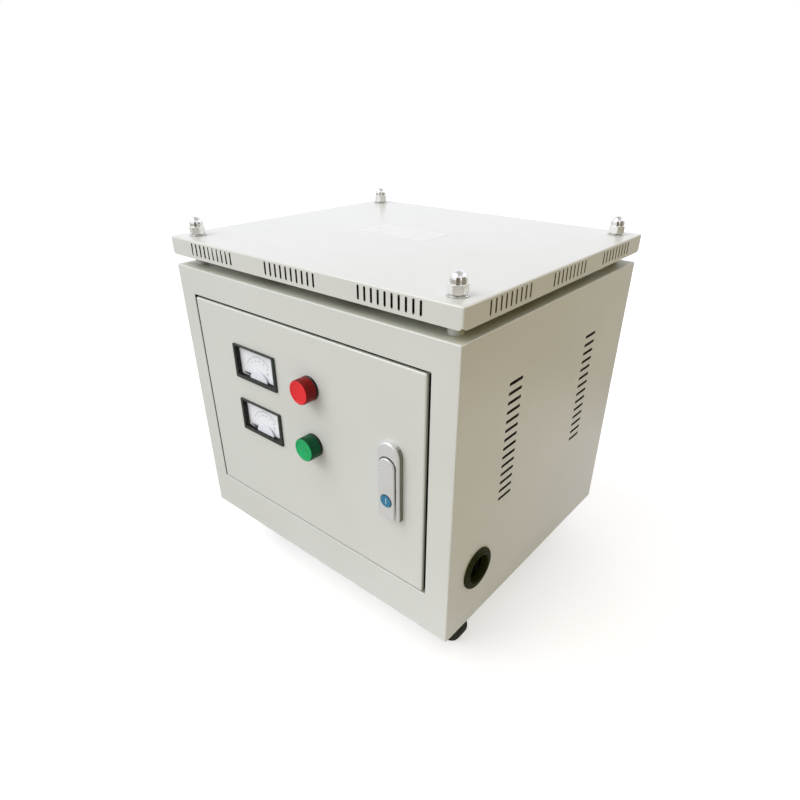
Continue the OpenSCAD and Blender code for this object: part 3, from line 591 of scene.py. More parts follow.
# front frame: rounded outer corners, opening folded inwards
ox0, ox1, oz0, oz1 = -192.0, 188.0, 122.0, 398.0
bm = bmesh.new()
outer = rrect(0, (ZB + ZT) / 2, 2 * HW, ZT - ZB, 1.6, 4)
fold = edge_round(0.9, 3) + [(0, -5.0, 0), (0, -16.1, 0), (0.3, -16.5, 0), (1.2, -16.5, 0), (TS, -16.1, 0), (TS, -TS - 0.6, 0), (TS + 0.6, -TS, 0)]
plate(bm, front(YF), outer, edge_round(TS, 5) + [(0.0, -TS, 0)], mi=0,
      holes=[(rrect((ox0 + ox1) / 2, (oz0 + oz1) / 2, ox1 - ox0, oz1 - oz0, 0.95, 3), fold)])
# painted shade: the fold walls and the back face take the darker inside paint
inner_faces(bm, lambda c: c.y > YF + 1.4)
inner_faces(bm, lambda c: abs(c.x - ox0) < 0.2 and YF + 0.9 < c.y < YF + 4.9, 2)      # painted shade: near-black band on the hinge-side fold wall
piece("front_frame_skin", bm, [PAINT, PAINT_INSIDE_SHADE, PAINT_BLACK_SHADE], "cabinet", ["front_frame"])


def louvre_holes():
    out = []
    for c in (-89.1, 86.5):
        for i in range(14):
            out.append((rrect(c, 218.7 + 11 * i + 1.6, 26.4, 3.8, 1.2, 3), [(0.22, 0, 1), (0.06, -0.06, 1), (0, -0.22, 1), (0, -TS, 0)]))
    return out


def side_panel(side):
    bm = bmesh.new()
    T = right(HW) if side > 0 else left(-HW)
    y0, y1 = -HD + TS, HD - TS
    outer = [(y0, ZB), (y1, ZB), (y1, ZT), (y0, ZT)]
    holes = louvre_holes()
    if side > 0:
        holes.append((circle(GY, GZ, 22, 56), [(0, 0, 0), (0, -TS, 0)]))
    plate(bm, T, outer, edge_round(TS, 5) + [(0, -TS, 0)], holes=holes, scale=[0.3, 0.0, 1.0, 0.0])
    a = (HW - 22 if side > 0 else -HW + TS, HD - 2 * TS, ZB + 4)
    b = (HW - TS if side > 0 else -HW + 22, HD - TS, ZT - 4)
    f = bmesh.new()
    rbox(f, a, b, 0.3)
    cu = bmesh.new()
    for z in (34, 134, 234, 334):
        lathe(cu, at(side * (HW - 12), HD - 8, ZB + z, "y"), [(0, 0), (2.1, 0), (2.1, 9), (0, 9)], 24)
    f = carve(f, cu)
    me = bpy.data.meshes.new("t")
    f.to_mesh(me)
    f.free()
    bm.from_mesh(me)
    bpy.data.meshes.remove(me)
    # painted shade: inner faces take the darker inside paint
    inner_faces(bm, lambda c: abs(c.x) < HW - 1.4 or (abs(c.x) < HW - 0.3 and abs(c.y) < HD - 6 and ZB + 6 < c.z < ZT - 6))
    # painted shade: the walls of the louvre slots and the cable hole are near-black
    inner_faces(bm, lambda c: abs(c.x) < HW - 0.3 and abs(c.x) > HW - 1.4 and abs(c.y) < HD - 6 and ZB + 6 < c.z < ZT - 6, 2)
    return bm


piece("side_panel_right_skin", side_panel(1), [PAINT, PAINT_INSIDE_SHADE, PAINT_BLACK_SHADE], "cabinet", ["side_panel_right"])
piece("side_panel_left_skin", side_panel(-1), [PAINT, PAINT_INSIDE_SHADE, PAINT_BLACK_SHADE], "cabinet", ["side_panel_left"])

bm = bmesh.new()
plate(bm, rear(HD), rrect(0, (ZB + ZT) / 2, 2 * HW, ZT - ZB, 1.6, 4), edge_round(TS, 5) + [(0.0, -TS, 0)],
      holes=[(circle(s * (HW - 12), ZB + z, 2.7, 20), [(0, 0, 0), (0, -TS, 0)]) for s in (-1, 1) for z in (34, 134, 234, 334)])
# painted shade: the inner face takes the darker inside paint
inner_faces(bm, lambda c: c.y < HD - 1.4)
piece("back_panel_skin", bm, [PAINT, PAINT_INSIDE_SHADE], "cabinet", ["back_panel"])

# pan-head screws with a cross recess
bm = bmesh.new()
for s in (-1, 1):
    for z in (34, 134, 234, 334):
        cx, cz = s * (HW - 12), ZB + z
        T = at(cx, HD, cz, "y")
        f = bmesh.new()
        lathe(f, T, [(0, -8), (1.6, -8), (2.0, -7.4), (2.0, 0.0), (4.3, 0.0), (4.6, 0.35), (4.6, 1.0), (4.2, 1.7), (3.2, 2.25), (1.8, 2.45), (0, 2.5)], 28)
        cu = bmesh.new()
        rbox(cu, (cx - 2.7, HD + 1.3, cz - 0.5), (cx + 2.7, HD + 4, cz + 0.5), 0.05, n=1)
        f = carve(f, cu)
        cu = bmesh.new()
        rbox(cu, (cx - 0.5, HD + 1.3, cz - 2.7), (cx + 0.5, HD + 4, cz + 2.7), 0.05, n=1)
        f = carve(f, cu)
        me = bpy.data.meshes.new("t")
        f.to_mesh(me)
        f.free()
        bm.from_mesh(me)
        bpy.data.meshes.remove(me)
piece("back_screw_set", bm, BOLT, "cabinet", ["back_screws"], angle=25)

# ---------------------------------------------------------------- lid
bm = bmesh.new()
n, r = 5, 2.5
pts = []
for sx, sy, a in ((1, -1, -90), (1, 1, 0), (-1, 1, 90), (-1, -1, 180)):
    c = arc(sx * (LW - r), sy * (LD - r), r, a, a + 90, n)
    t0 = (-math.sin(math.radians(a)), math.cos(math.radians(a)))       # direction of travel entering the corner
    for k in (4.0, 2.2, 1.0):
        pts.append((c[0][0] - t0[0] * k, c[0][1] - t0[1] * k))
    pts += c
    t1 = (-math.sin(math.radians(a + 90)), math.cos(math.radians(a + 90)))
    for k in (1.0, 2.2, 4.0):
        pts.append((c[-1][0] + t1[0] * k, c[-1][1] + t1[1] * k))
H = ZL1 - ZL0
prof = edge_round(2.0, 5) + [(0, -H + 0.5, 0), (0.15, -H + 0.14, 0), (0.5, -H, 0), (1.0, -H, 0), (1.35, -H + 0.14, 0), (TS, -H + 0.5, 0),
                             (TS, -3.0, 0), (TS + 0.4, -2.0, 0), (TS + 1.4, -TS, 0)]
studs = [(i * SX, j * SY) for i in (-1, 1) for j in (-1, 1)]
plate(bm, top(ZL1), pts, prof, holes=[(circle(x, y, 5.4, 32), [(0, 0, 0), (0, -TS, 0)]) for x, y in studs])
for v in bm.verts:
    if v.co.z < ZL0 + 0.6:
        dx, dy = LW - 2.5 - abs(v.co.x), LD - 2.5 - abs(v.co.y)
        s = max(0.0, 3.2 - max(dx, dy, 0.0)) if min(dx, dy) < 2.6 else 0.0
        if s > 0:
            v.co.z += 3.2 - math.sqrt(max(3.2 ** 2 - min(s, 3.2) ** 2, 0.0)) if s < 3.2 else 2.2
cu = bmesh.new()
SW = 2.8
for g in (-138, 0, 138):
    for i in range(10):
        x = g - 40 + i * 8.44 + 2.0
        rr = rrect(x, ZL0 + 11.35, SW, 14.5, SW / 2 - 0.05, 4)
        for y0, y1 in ((-LD - 1, -LD + 4), (LD - 4, LD + 1)):
            plate(cu, front(y0), rr, [(0, 0, 0), (0, y0 - y1, 0)])
for g in (-118, 0, 118):
    for i in range(9):
        y = g - 37 + i * 8.75 + 2.0
        rr = rrect(y, ZL0 + 11.35, SW, 14.5, SW / 2 - 0.05, 4)
        for x0, x1 in ((LW - 4, LW + 1), (-LW - 1, -LW + 4)):
            plate(cu, right(x1), rr, [(0, 0, 0), (0, x0 - x1, 0)])
bm = carve(bm, cu)
# painted shade: the underside takes a dark olive colour
inner_faces(bm, lambda c: c.z < ZL1 - 1.2 and abs(c.x) < LW - 1.3 and abs(c.y) < LD - 1.3)
for half, other, k in ((LW, LD, 0), (LD, LW, 1)):                # painted shade in the slots' own walls: near-black in the front and back skirts, olive-brown in the side skirts
    inner_faces(bm, lambda c: half - 1.42 < abs(c[k]) < half - 0.08 and abs(c[1 - k]) < other - 10 and ZL0 + 3.9 < c.z < ZL0 + 19.0, 3 if k == 0 else 2)
piece("lid_skin", bm, [PAINT_LID, PAINT_UNDER_LID_SHADE, PAINT_BLACK_SHADE, PAINT_OLIVE_SHADE], "cabinet", ["lid"], angle=30)

# blank label stuck on the lid
bm = bmesh.new()
plate(bm, top(ZL1 + 0.16), rrect(-13.4, 8.4, 108.9, 54.1, 1.5, 4), [(0.12, 0, 1), (0.0, -0.08, 1), (0, -0.16, 0)])
piece("lid_blank_label", bm, LABEL, "cabinet")

# spacers, washers, acorn nuts
bm = bmesh.new()
for x, y in studs:
    T = at(x, y, 0, "z")
    lathe(bm, T, [(5.3, ZT), (7.4, ZT), (7.8, ZT + 0.4), (7.8, ZL1 - TS - 0.4), (7.4, ZL1 - TS), (5.3, ZL1 - TS)], 40, closed=True)
piece("lid_spacer_set", bm, PAINT, "cabinet", ["lid_spacers"])
bm = bmesh.new()
for x, y in studs:
    T = at(x, y, ZL1, "z")
    lathe(bm, T, [(5.3, 0.0), (10.2, 0.0), (10.5, 0.25), (10.5, 1.0), (10.2, 1.25), (5.3, 1.25)], 48, closed=True)
    lathe(bm, T, [(5.3, 1.25), (8.6, 1.25), (8.8, 1.35), (8.8, 1.9), (8.6, 2.0), (5.3, 2.0)], 48, closed=True)
piece("lid_washer_set", bm, BOLT, "cabinet", ["lid_washers"])
bm = bmesh.new()
for k, (x, y) in enumerate(studs):
    z0 = ZL1 + 2
    turn = math.radians((12, 38, 5, 27)[k])
    c, s = math.cos(turn), math.sin(turn)
    T = (lambda x, y, c, s: lambda a, b, h: (x + a * c - b * s, y + a * s + b * c, z0 + h))(x, y, c, s)
    # hexagon, collar and dome in one closed skin
    n, per = 72, 12
    verts, faces = [], []
    rc = 17 / 2 * 0.965
    dome = [(8.05, 9.4), (8.0, 10.2)] + [(8.0 * math.cos(math.radians(a)), 12.0 + 8.0 * math.sin(math.radians(a))) for a in range(0, 90, 9)]
    for i in range(n):
        a = 2 * math.pi * i / n
        b = (a + math.pi / 6) % (math.pi / 3) - math.pi / 6
        rr = min(8.5 / math.cos(b), 8.5 / math.cos(math.pi / 6) * 0.985)
        d = max(0.0, rr - rc) * math.tan(math.radians(30))
        col = [(5.0, 0), (rc, 0), (rr, d), (rr, 9.0 - d), (rc, 9.0), (8.15, 9.15)] + dome + [(0.0, 20.0)]
        verts += [T(q * math.cos(a), q * math.sin(a), h) for q, h in col]
    m = len(col)
    for i in range(n):
        for j in range(m - 1):
            a, b = i * m, ((i + 1) % n) * m
            faces.append((a + j, b + j, b + j + 1, a + j + 1))
    # bore wall and its roof
    base = len(verts)
    for i in range(n):
        a = 2 * math.pi * i / n
        verts += [T(5 * math.cos(a), 5 * math.sin(a), 0), T(5 * math.cos(a), 5 * math.sin(a), 12), T(0, 0, 13.5)]
    for i in range(n):
        for j in range(2):
            a, b = base + i * 3, base + ((i + 1) % n) * 3
            faces.append((a + j, b + j, b + j + 1, a + j + 1))
    add(bm, verts, faces)
inner_faces(bm, lambda c: c.z < ZL1 + 11.02, 1)
piece("acorn_nut_set", bm, [CHROME, FLATS], "cabinet", ["lid_acorn_nuts"], angle=24)

# ---------------------------------------------------------------- cable ring
bm = bmesh.new()
prof = [(18.0, -4.3), (18.5, -4.9), (19.5, -5.2), (23.6, -4.6), (24.8, -3.9), (25.0, -3.2), (25.0, -0.9), (24.8, -0.75), (21.8, -0.75),
        (21.8, 0.75), (26.0, 0.75), (26.5, 1.0), (26.5, 1.9), (26.1, 2.9), (25.0, 3.7), (23.6, 3.6), (22.6, 3.0), (21.8, 3.1),
        (21.2, 3.9), (20.4, 4.6), (19.4, 4.7), (18.5, 4.3), (18.0, 3.5)]
lathe(bm, at(HW - TS / 2, GY, GZ, "x"), prof, 80, closed=True)
piece("cable_ring", bm, RUBBER, "cabinet", ["cable_grommet"], angle=50)

# ---------------------------------------------------------------- door
dx0, dx1, dz0, dz1 = -190.0, 183.0, 123.0, 395.0
bm = bmesh.new()
pan = edge_round(2.2, 6) + [(0, -4.0, 0), (0, -8.5, 0), (0, -14.6, 0), (0.3, -15, 0), (1.2, -15, 0), (TS, -14.6, 0), (TS, -TS - 0.5, 0), (TS + 0.5, -TS, 0)]
cutout = [(0.25, 0, 1), (0.07, -0.07, 1), (0, -0.25, 1), (0, -TS, 0)]
holes = [(rrect(MX, z + 0.75, 73, 43, 1.0, 3), cutout) for z in MZ]
holes += [(circle(LX, z, 11.2, 40), cutout) for z in LZ]
holes += [(circle(KX, KZ, 9.2, 36), cutout)]
plate(bm, front(YF), rrect((dx0 + dx1) / 2, (dz0 + dz1) / 2, dx1 - dx0, dz1 - dz0, 2.3, 5), pan, holes=holes)
cu = bmesh.new()
for z in (165.0, 355.0):
    rbox(cu, (dx0 - 1, YF + TS + 0.3, z - 8.5), (dx0 + TS + 0.5, YF + 30, z + 8.5), 0.4, n=1)
bm = carve(bm, cu)
# painted shade: the flange and back take the darker inside paint
inner_faces(bm, lambda c: c.y > YF + 1.4)
# painted shade: near-black band round the flange's walls, 4.2 to 8.4 mm deep
inner_faces(bm, lambda c: YF + 4.2 < c.y < YF + 8.4 and (c.x > dx1 - 0.2 or c.x < dx0 + 0.2 or c.z > dz1 - 0.2 or c.z < dz0 + 0.2), 2)
piece("door_skin", bm, [PAINT, PAINT_INSIDE_SHADE, PAINT_BLACK_SHADE], "door", ["door_panel"])

# ---------------------------------------------------------------- meters
for tag, z, num in (("upper", MZ[0], 0), ("lower", MZ[1], 1)):
    px, pz = MX + 2, z - 15.5
    bm = bmesh.new()
    # bezel with a stepped inner edge, then the case behind it
    w_prof = [(0.7, 0, 1), (0.35, -0.12, 1), (0.1, -0.4, 1), (0.0, -0.8, 1), (0, -2.5, 0)]
    plate(bm, front(YF - 2.6), rrect(MX, z, 79, 45.2, 1.3, 4), edge_round(0.8, 3) + [(0, -2.6, 0)],
          holes=[(rrect(MX, z + 1.1, 70, 38.2, 0.9, 3), w_prof[:-1] + [(0, -2.6, 0)])])
    plate(bm, front(YF), rrect(MX, z + 0.75, 72, 42, 1.0, 3), [(0, 0, 0), (0, -40, 0)],
          holes=[(rrect(MX, z + 1.1, 70, 38.2, 0.9, 3), [(0, 0, 0), (0, -40, 0)])])
    rbox(bm, (MX - 34.9, YF + 38, z - 17.9), (MX + 34.9, YF + 40, z + 20.1), 0.2, n=1)
    # painted shade: walls and back of the window recess take the darker case colour
    inner_faces(bm, lambda c: c.y > YF - 2.0 and abs(c.x - MX) < 35.3 and abs(c.z - z - 1.1) < 19.4)
    piece(f"meter_{tag}_housing", bm, [BEZEL, BEZEL_RECESS_SHADE], "door", [f"meter_{tag}_case"])
    bm = bmesh.new()
    plate(bm, front(YF - 1.9), rrect(MX, z + 1.1, 69.9, 38.1, 0.8, 3), [(0.2, 0, 1), (0, -0.2, 1), (0, -1.2, 0)])
    piece(f"meter_{tag}_window", bm, GLASS, "door", [f"meter_{tag}_glass"])
    # dial: white plate, fine arcs, ticks, plain numbers
    bm = bmesh.new()
    T = front(YF + 4.2)
    plate(bm, T, rrect(MX, z + 1.1, 69.8, 38.0, 0.6, 3), [(0, 0, 0), (0, -0.8, 0)], holes=[(circle(px, pz, 1.58, 20), [(0, 0, 0), (0, -0.8, 0)])])

    def ring(r0, r1, a0, a1, steps, mi, h=0.05):
        o = [(px + r1 * math.cos(math.radians(a)), pz + r1 * math.sin(math.radians(a))) for a in [a0 + (a1 - a0) * i / steps for i in range(steps + 1)]]
        i_ = [(px + r0 * math.cos(math.radians(a)), pz + r0 * math.sin(math.radians(a))) for a in [a0 + (a1 - a0) * i / steps for i in range(steps + 1)]]
        plate(bm, front(YF + 4.2 - h), o + i_[::-1], [(0, 0, 0), (0, -h, 0)], mi=mi)

    A0, A1 = 150.0, 45.0                                # scale from left to right
    ring(27.3, 27.75, A1, A0, 48, 2)
    ring(25.9, 26.05, A1, A0, 48, 2)
    for k in range(26):
        a = A0 + (A1 - A0) * k / 25
        big = k % 5 == 0
        ring(25.9 if not big else 25.2, 28.2 if not big else 29.4, a - (0.14 if not big else 0.26), a + (0.14 if not big else 0.26), 1, 2)
    for k, s in enumerate(("0", "100", "200", "300", "400", "500")):
        a = math.radians(A0 + (A1 - A0) * k / 5)
        rt = 22.0
        text_solid(bm, s, 2.9, (lambda qx, qz: lambda u, v, w: (qx + u, YF + 4.17 - w, qz + v))(px + rt * math.cos(a), pz + rt * math.sin(a)), mi=2)
    text_solid(bm, "V", 5.2, (lambda qx, qz: lambda u, v, w: (qx + u, YF + 4.17 - w, qz + v))(px + 15.5, pz + 9.0), mi=1)
    piece(f"meter_{tag}_scale", bm, [DIAL, INK, INK_GREY], "door", [f"meter_{tag}_dial"])
    # rounded cover over the pivot, in front of the pointer
    bm = bmesh.new()
    hump = [(px + 16.5 * math.cos(math.radians(a * 180 / 28)), z - 17.9 + 11.6 * math.sin(math.radians(a * 180 / 28))) for a in range(29)]
    plate(bm, front(YF + 0.7), hump, [(0.5, 0, 1), (0.25, -0.08, 1), (0.07, -0.25, 1), (0.0, -0.5, 1), (0, -0.9, 0)],
          scale=[1.0] * 28 + [0.0])
    piece(f"meter_{tag}_pivot_cover", bm, COVER, "door")
    # pointer
    bm = bmesh.new()
    ca, sa = math.cos(math.radians(177)), math.sin(math.radians(177))

    def T(u, v, w):
        return (px + u * ca - v * sa, YF + 2.0 - w, pz + u * sa + v * ca)

    plate(bm, T, [(0, -1.0), (19, -1.2), (24, -1.0), (31, -0.2), (31, 0.2), (24, 1.0), (19, 1.2), (0, 1.0)], [(0.05, 0, 1), (0, -0.08, 1), (0, -0.5, 0)])
    lathe(bm, at(px, YF + 1.8, pz, "y"), [(0, 0), (1.2, 0), (1.5, 0.3), (1.5, 16.2), (0, 16.2)], 24)
    piece(f"meter_{tag}_pointer", bm, NEEDLE, f"{tag}_needle", [f"meter_{tag}_needle"])

# ---------------------------------------------------------------- lamps
for tag, z, mt, ms in (("red", LZ[0], RED, RED_LENS_SHADE), ("green", LZ[1], GREEN, GREEN_LENS_SHADE)):
    bm = bmesh.new()
    Q = 15.7
    prof = [(0, Q - 0.55), (10.9, Q - 0.55), (11.3, Q - 0.5), (11.6, Q - 0.1), (12.0, Q), (13.3, Q), (14.0, Q - 0.25), (14.55, Q - 0.8), (14.8, Q - 1.7),
            (14.8, 12.2), (14.65, 12.0), (14.65, 11.5), (14.8, 11.3), (14.8, 1.6), (14.6, 1.3), (13.2, 1.3), (13.0, 12.0), (12.0, 14.0), (0, 14.0)]
    lathe(bm, at(LX, YF - 2, z, "-y"), prof, 72)
    for q in (-1.9, 1.9):                            # two small ribs at the top of the lens
        rbox(bm, (LX + q - 0.5, YF - 2 - Q + 1.6, z + 14.4), (LX + q + 0.5, YF - 2 - Q + 5.0, z + 15.05), 0.15, n=1)
    # painted shade: the lens's rim and its rear part take the darker side colour
    inner_faces(bm, lambda c: math.hypot(c.x - LX, c.z - z) > 13.7 or c.y > YF - 2 - Q + 2.5)
    piece(f"lamp_{tag}_cap", bm, [mt, ms], "door", [f"lamp_{tag}_lens"], angle=38)
bm = bmesh.new()
for z in LZ:
    T = at(LX, YF, z, "-y")
    lathe(bm, T, [(9, -22), (11, -22), (11, 0), (14.7, 0), (14.9, 0.3), (14.9, 2.9), (14.6, 3.2), (12.6, 3.2), (12.6, 5.0), (9, 5.0)], 64, closed=True)
piece("lamp_bezel_set", bm, BLACK, "door", ["lamp_bezels"], angle=38)

# ---------------------------------------------------------------- lock
kt, kb = 308.0, 211.2
bm = bmesh.new()
hwk, ti = 15.6, 11.8
# horseshoe rim round a circular well with a straight trough below it
outl = arc(KX + hwk - 1.6, kb + 1.6, 1.6, -90, 0, 4) + arc(KX, kt - hwk, hwk, 0, 180, 40) + arc(KX - hwk + 1.6, kb + 1.6, 1.6, 180, 270, 4)
well = 12.3
ai = math.degrees(math.acos(ti / well))
inner = [(KX - ti, kb)] + arc(KX, KZ, well, 180 + ai, -ai, 32) + [(KX + ti, kb)]
shape = outl + inner
N = len(outl)
sc = []
for i in range(len(shape)):
    if i in (N - 1, len(shape) - 1):
        sc.append(0.3)
    elif i < 4 or N - 6 < i < N - 1:
        sc.append(0.55)
    else:
        sc.append(1.0 if i < N else 0.16)
prof = [(d, w, 1) for d, w, _ in edge_round(2.6, 7)] + [(0, -7.5, 0)]
plate(bm, front(YF - 7.5), shape, prof, scale=sc)
floor_out = [(KX - ti - 0.3, kb + 0.4)] + arc(KX, KZ, well + 0.3, 180 + ai, -ai, 32) + [(KX + ti + 0.3, kb + 0.4)]
plate(bm, front(YF - 0.8), floor_out[::-1], [(0, 0, 0), (0, -0.78, 0)], holes=[(circle(KX, KZ, 6.06, 32), [(0, 0, 0), (0, -0.78, 0)])])
lathe(bm, at(KX, YF + 14, KZ, "-y"), [(6.06, 0), (9, 0), (9, 13.9), (6.06, 13.9)], 40, closed=True)
# painted shade: the rim's right outer wall takes darker silver, darkest near the outer right edge
for x0, mi in ((9.5, 2), (12.2, 1)):
    inner_faces(bm, lambda c: YF - 5.2 < c.y < YF and c.x > KX + x0 and
                (c.x > KX + hwk - 0.5 if c.z < kt - hwk else math.hypot(c.x - KX, c.z - kt + hwk) > hwk - 0.5), mi)
piece("lock_body", bm, [SILVER, SILVER_DARK_SHADE, SILVER_HALF_SHADE], "door", ["lock_housing"], angle=34)
# lever
bm = bmesh.new()
ly1, ly0, lb = YF - 7.8, YF - 10.2, KZ - 65.6
lv = [(KX - 11 + 1.2, lb), (KX + 11 - 1.2, lb), (KX + 11, lb + 1.2)] + arc(KX, KZ, 11, 0, 180, 32) + [(KX - 11, lb + 1.2)]
bz = KZ - 42.3
back_edge = [(0, -2.2, 0), (0.2, -2.4, 0)]
plate(bm, front(ly0), lv, edge_round(0.95, 4) + back_edge,
      holes=[(circle(KX, bz, 8.05, 44), edge_round(0.35, 2) + [(0, -2.4, 0)])])
lathe(bm, at(KX - 3.9, YF - 5, KZ, "x"), [(1.3, 0), (2.3, 0), (2.3, 7.8), (1.3, 7.8)], 24, closed=True)
rbox(bm, (KX - 3.9, ly1 - 0.1, KZ - 2.3), (KX + 3.9, YF - 6.2, KZ + 2.3), 0.2, n=1)
piece("lock_lever_plate", bm, SILVER, "lock_lever", ["lock_lever"], angle=34)
# round key button with a light bar in its slot
bm = bmesh.new()
plate(bm, front(ly0 - 0.6), circle(KX, bz, 7.8, 56), edge_round(0.6, 3) + [(0, -2.95, 0)],
      holes=[(rrect(KX, bz, 1.6, 8.2, 0.75, 3), [(0.2, 0, 1), (0, -0.2, 1), (0, -2.95, 0)])])
plate(bm, front(ly0 - 0.25), rrect(KX, bz, 1.58, 8.18, 0.73, 3), [(0, 0, 0), (0, -2.5, 0)], mi=1)
# painted shadow: the button's outer edge is black, standing in for the shadow in the gap round it
inner_faces(bm, lambda c: math.hypot(c.x - KX, c.z - bz) > 7.3 and c.y > ly0 - 0.42, 2)
piece("lock_key_button", bm, [BLUE, WHITE, BLACK], "lock_button", ["lock_button"], angle=34)

# ---------------------------------------------------------------- windings
for tag, cx in (("a", -110), ("b", 0), ("c", 110)):
    bm = bmesh.new()
    cy, z0 = 20.0, 145.0
    w, h = 103.4, 134.0
    outer = rrect(cx, cy, w, h, 14, 7)
    inner = rrect(cx, cy, 53.2, 83.2, 1.5, 2)
    prof = [(1.2, 0, 0)]
    turns, pitch = 20, 160 / 20
    for t in range(turns):
        for q in range(5):
            a = q / 5
            d = 1.2 - 1.2 * math.sin(math.pi * a) ** 0.6 if a > 0 else 1.2
            prof.append((d, -(t + a) * pitch - (0 if t or q else 0.01), 0))
    prof.append((1.2, -160, 0))
    plate(bm, top(z0 + 160), outer, prof, holes=[(inner, [(0, 0, 0), (0, -160, 0)])])
    # glass tape bands round the winding
    for zz in (0.18, 0.82):
        bb = rrect(cx, cy, w + 0.5, h + 0.5, 14.2, 7)
        plate(bm, top(z0 + 160 * zz + 9), bb, edge_round(0.25, 1) + [(0, -17.75, 0), (0.25, -18, 0)],
              holes=[(rrect(cx, cy, w - 2.6, h - 2.6, 12.8, 7), [(0, 0, 0), (0, -18, 0)])], mi=1)
    piece(f"winding_{tag}", bm, [COIL, TAPE], "cabinet", [f"coil_{tag}"], angle=60)

# ---------------------------------------------------------------- caster wheels
for tag, i, j in (("fl", -1, -1), ("fr", 1, -1), ("rl", -1, 1), ("rr", 1, 1)):
    bm = bmesh.new()
    T = at(i * 161 - j * 20, j * 132, 25, "y")
    wr, hw2 = 25.0, 10.5
    tread = [(17.6, -9.5), (22.6, -10.3), (23.8, -10.0), (24.6, -9.0), (24.9, -7.5), (25.0, -4.0), (25.0, 4.0), (24.9, 7.5), (24.6, 9.0),
             (23.8, 10.0), (22.6, 10.3), (17.6, 9.5)]
    lathe(bm, T, tread, 72, closed=True, mi=0)
    hub = [(4.05, -11), (7.2, -11), (8, -10.5), (8.2, -7.6), (9, -7), (15.2, -6.2), (16, -6.6), (16.4, -9.2), (17.0, -9.6), (17.6, -9.4),
           (17.6, 9.4), (17.0, 9.6), (16.4, 9.2), (16, 6.6), (15.2, 6.2), (9, 7), (8.2, 7.6), (8, 10.5), (7.2, 11), (4.05, 11)]
    lathe(bm, T, hub, 60, closed=True, mi=1)
    piece(f"wheel_{tag}", bm, [TREAD, HUB], f"caster_wheel_{tag}", [f"caster_wheel_{tag}"], angle=40)

# ---------------------------------------------------------------- CAD nodes that stay
def keep(node, mat, bevel=0.0004, seg=2, smooth=None, sub=0):
    ob = NODES[node]
    for s in range(max(1, len(ob.data.materials))):
        if len(ob.data.materials) <= s:
            ob.data.materials.append(mat)
        else:
            ob.data.materials[s] = mat
    wd = ob.modifiers.new("weld", "WELD")
    wd.merge_threshold = 2e-6
    if sub:
        sb = ob.modifiers.new("smooth", "SUBSURF")
        sb.levels = sb.render_levels = sub
    if bevel:
        bv = ob.modifiers.new("edges", "BEVEL")
        bv.width, bv.segments, bv.limit_method, bv.angle_limit = bevel, seg, "ANGLE", math.radians(35)
        bv.use_clamp_overlap = True
        bv.harden_normals = True


# painted shade on the base plate, painted light on the top frame
keep("base_plate", PAINT_INSIDE_SHADE, 0.0003)
keep("top_frame", PAINT_TOP_LIFTED, 0)
keep("lid_studs", BOLT, 0.0003)
keep("core_laminations", CORE, 0.0006)
keep("coil_formers", FIBRE, 0.0003)
keep("core_clamps_upper", ZINC, 0.0006)
keep("core_clamps_lower", ZINC, 0.0006)
keep("clamp_bolts", BOLT, 0.0003)
keep("foot_bolts", BOLT, 0.0003)
keep("terminal_board", BOARD, 0.0006)
keep("terminal_studs", BRASS, 0.0002)
keep("winding_leads", COPPER, 0)
keep("cabinet_loom", SLEEVE, 0, sub=1)
keep("door_loom", SLEEVE, 0, sub=1)
keep("hinge_brackets", ZINC, 0.0004)
keep("hinge_leaves", ZINC, 0.0003)
keep("hinge_pins", BOLT, 0.0003)
keep("caster_plates", ZINC, 0.0004)
keep("earth_stud", BRASS, 0.0003)
keep("lock_nut", BOLT, 0.0004)
keep("lock_rotor", ZINC, 0.0003)
keep("meter_upper_movement", ZINC, 0.0004)
keep("meter_lower_movement", ZINC, 0.0004)
keep("lamp_bodies", BLACK, 0.0004)
for t in ("fl", "fr", "rl", "rr"):
    keep(f"caster_fork_{t}", ZINC, 0.0004)

# ---------------------------------------------------------------- floor and light
bm = bmesh.new()
bmesh.ops.create_grid(bm, x_segments=1, y_segments=1, size=30)
me = bpy.data.meshes.new("floor")
bm.to_mesh(me)
bm.free()
me.materials.append(FLOOR)
floor = bpy.data.objects.new("floor", me)
bpy.context.scene.collection.objects.link(floor)

sun = bpy.data.objects.new("key", bpy.data.lights.new("key", "SUN"))
sun.data.energy = 1.35
sun.data.angle = math.radians(45)
sun.data.color = (1.0, 0.995, 0.98)
sun.rotation_mode = "QUATERNION"
sun.rotation_quaternion = (-Vector((-0.44, -0.66, 0.85))).to_track_quat("-Z", "Y")
bpy.context.scene.collection.objects.link(sun)

# dim cards round the set, out of the lens's sight: one gives the right side its olive cast, one shows in bright metal

def studio_card(name, plan, z0, z1, colour, in_metal):
    bm = bmesh.new()
    lo_v = [bm.verts.new((x, y, z0)) for x, y in plan]
    hi_v = [bm.verts.new((x, y, z1)) for x, y in plan]
    for i in range(len(plan) - 1):
        bm.faces.new((lo_v[i], lo_v[i + 1], hi_v[i + 1], hi_v[i]))
    me = bpy.data.meshes.new(name)
    bm.to_mesh(me)
    bm.free()
    cm = bpy.data.materials.new(name)
    cm.use_nodes = True
    cb = cm.node_tree.nodes["Principled BSDF"]
    cb.inputs["Base Color"].default_value = (0, 0, 0, 1)
    cb.inputs["Specular IOR Level"].default_value = 0.0
    cb.inputs["Emission Color"].default_value = (*colour, 1)
    cb.inputs["Emission Strength"].default_value = 1.0
    me.materials.append(cm)
    card = bpy.data.objects.new(name, me)
    bpy.context.scene.collection.objects.link(card)
    card.visible_camera = False
    card.visible_glossy = in_metal
    card.visible_diffuse = not in_metal
    card.visible_shadow = not in_metal


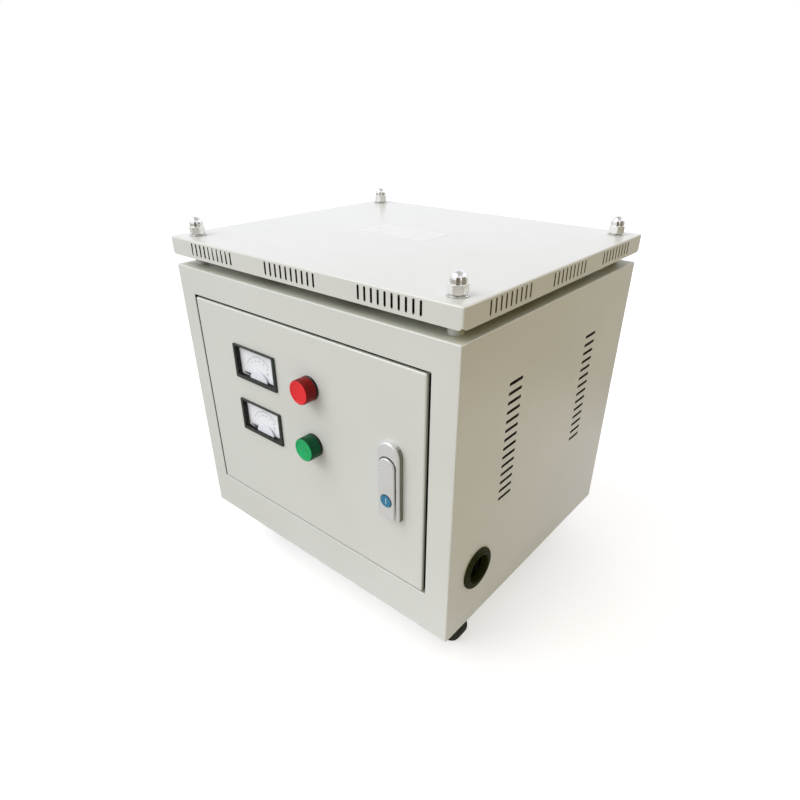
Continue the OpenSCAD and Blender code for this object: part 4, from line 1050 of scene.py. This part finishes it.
studio_card("side_card", [(0.98, -1.10), (0.92, -0.60), (0.92, 0.25), (0.88, 0.66)], 0.03, 1.42, (0.345, 0.243, 0.01), False)
studio_card("metal_card", [(0.35, -1.65), (1.25, -0.95)], 0.15, 1.25, (0.20, 0.165, 0.12), True)
studio_card("metal_card_right", [(1.35, -0.45), (1.35, 1.10)], 0.05, 1.05, (0.30, 0.27, 0.205), True)
studio_card("edge_card_right", [(1.00, 2.05), (1.65, 1.50)], 1.45, 2.25, (8.0, 8.0, 8.0), True)
studio_card("edge_card_left", [(-1.75, -1.00), (-1.15, -1.65)], 1.80, 2.60, (8.0, 8.0, 8.0), True)

world = bpy.data.worlds.new("studio")
bpy.context.scene.world = world
world.use_nodes = True
nt = world.node_tree
for nd in list(nt.nodes):
    nt.nodes.remove(nd)
out = nt.nodes.new("ShaderNodeOutputWorld")
co = nt.nodes.new("ShaderNodeTexCoord")
sep = nt.nodes.new("ShaderNodeSeparateXYZ")
nt.links.new(co.outputs["Generated"], sep.inputs[0])
rz = tex(nt, "ShaderNodeMapRange")          # brighter overhead
rz.interpolation_type = "SMOOTHSTEP"
rz.inputs["From Min"].default_value, rz.inputs["From Max"].default_value = 0.60, 1.0
nt.links.new(sep.outputs["Z"], rz.inputs["Value"])
m2 = nt.nodes.new("ShaderNodeMix")
m2.data_type = "RGBA"
m2.inputs["A"].default_value = (1.11, 1.12, 1.20, 1)
m2.inputs["B"].default_value = (0.62, 0.615, 0.61, 1)
nt.links.new(rz.outputs["Result"], m2.inputs["Factor"])
bg = nt.nodes.new("ShaderNodeBackground")
nt.links.new(m2.outputs["Result"], bg.inputs["Color"])
bg2 = nt.nodes.new("ShaderNodeBackground")
bg2.inputs["Color"].default_value = (1, 1, 1, 1)
lp = nt.nodes.new("ShaderNodeLightPath")
ms = nt.nodes.new("ShaderNodeMixShader")
nt.links.new(lp.outputs["Is Camera Ray"], ms.inputs["Fac"])
nt.links.new(bg.outputs[0], ms.inputs[1])
nt.links.new(bg2.outputs[0], ms.inputs[2])
nt.links.new(ms.outputs[0], out.inputs["Surface"])

bpy.context.scene.view_settings.view_transform = "Standard"
bpy.context.scene.view_settings.look = "None"
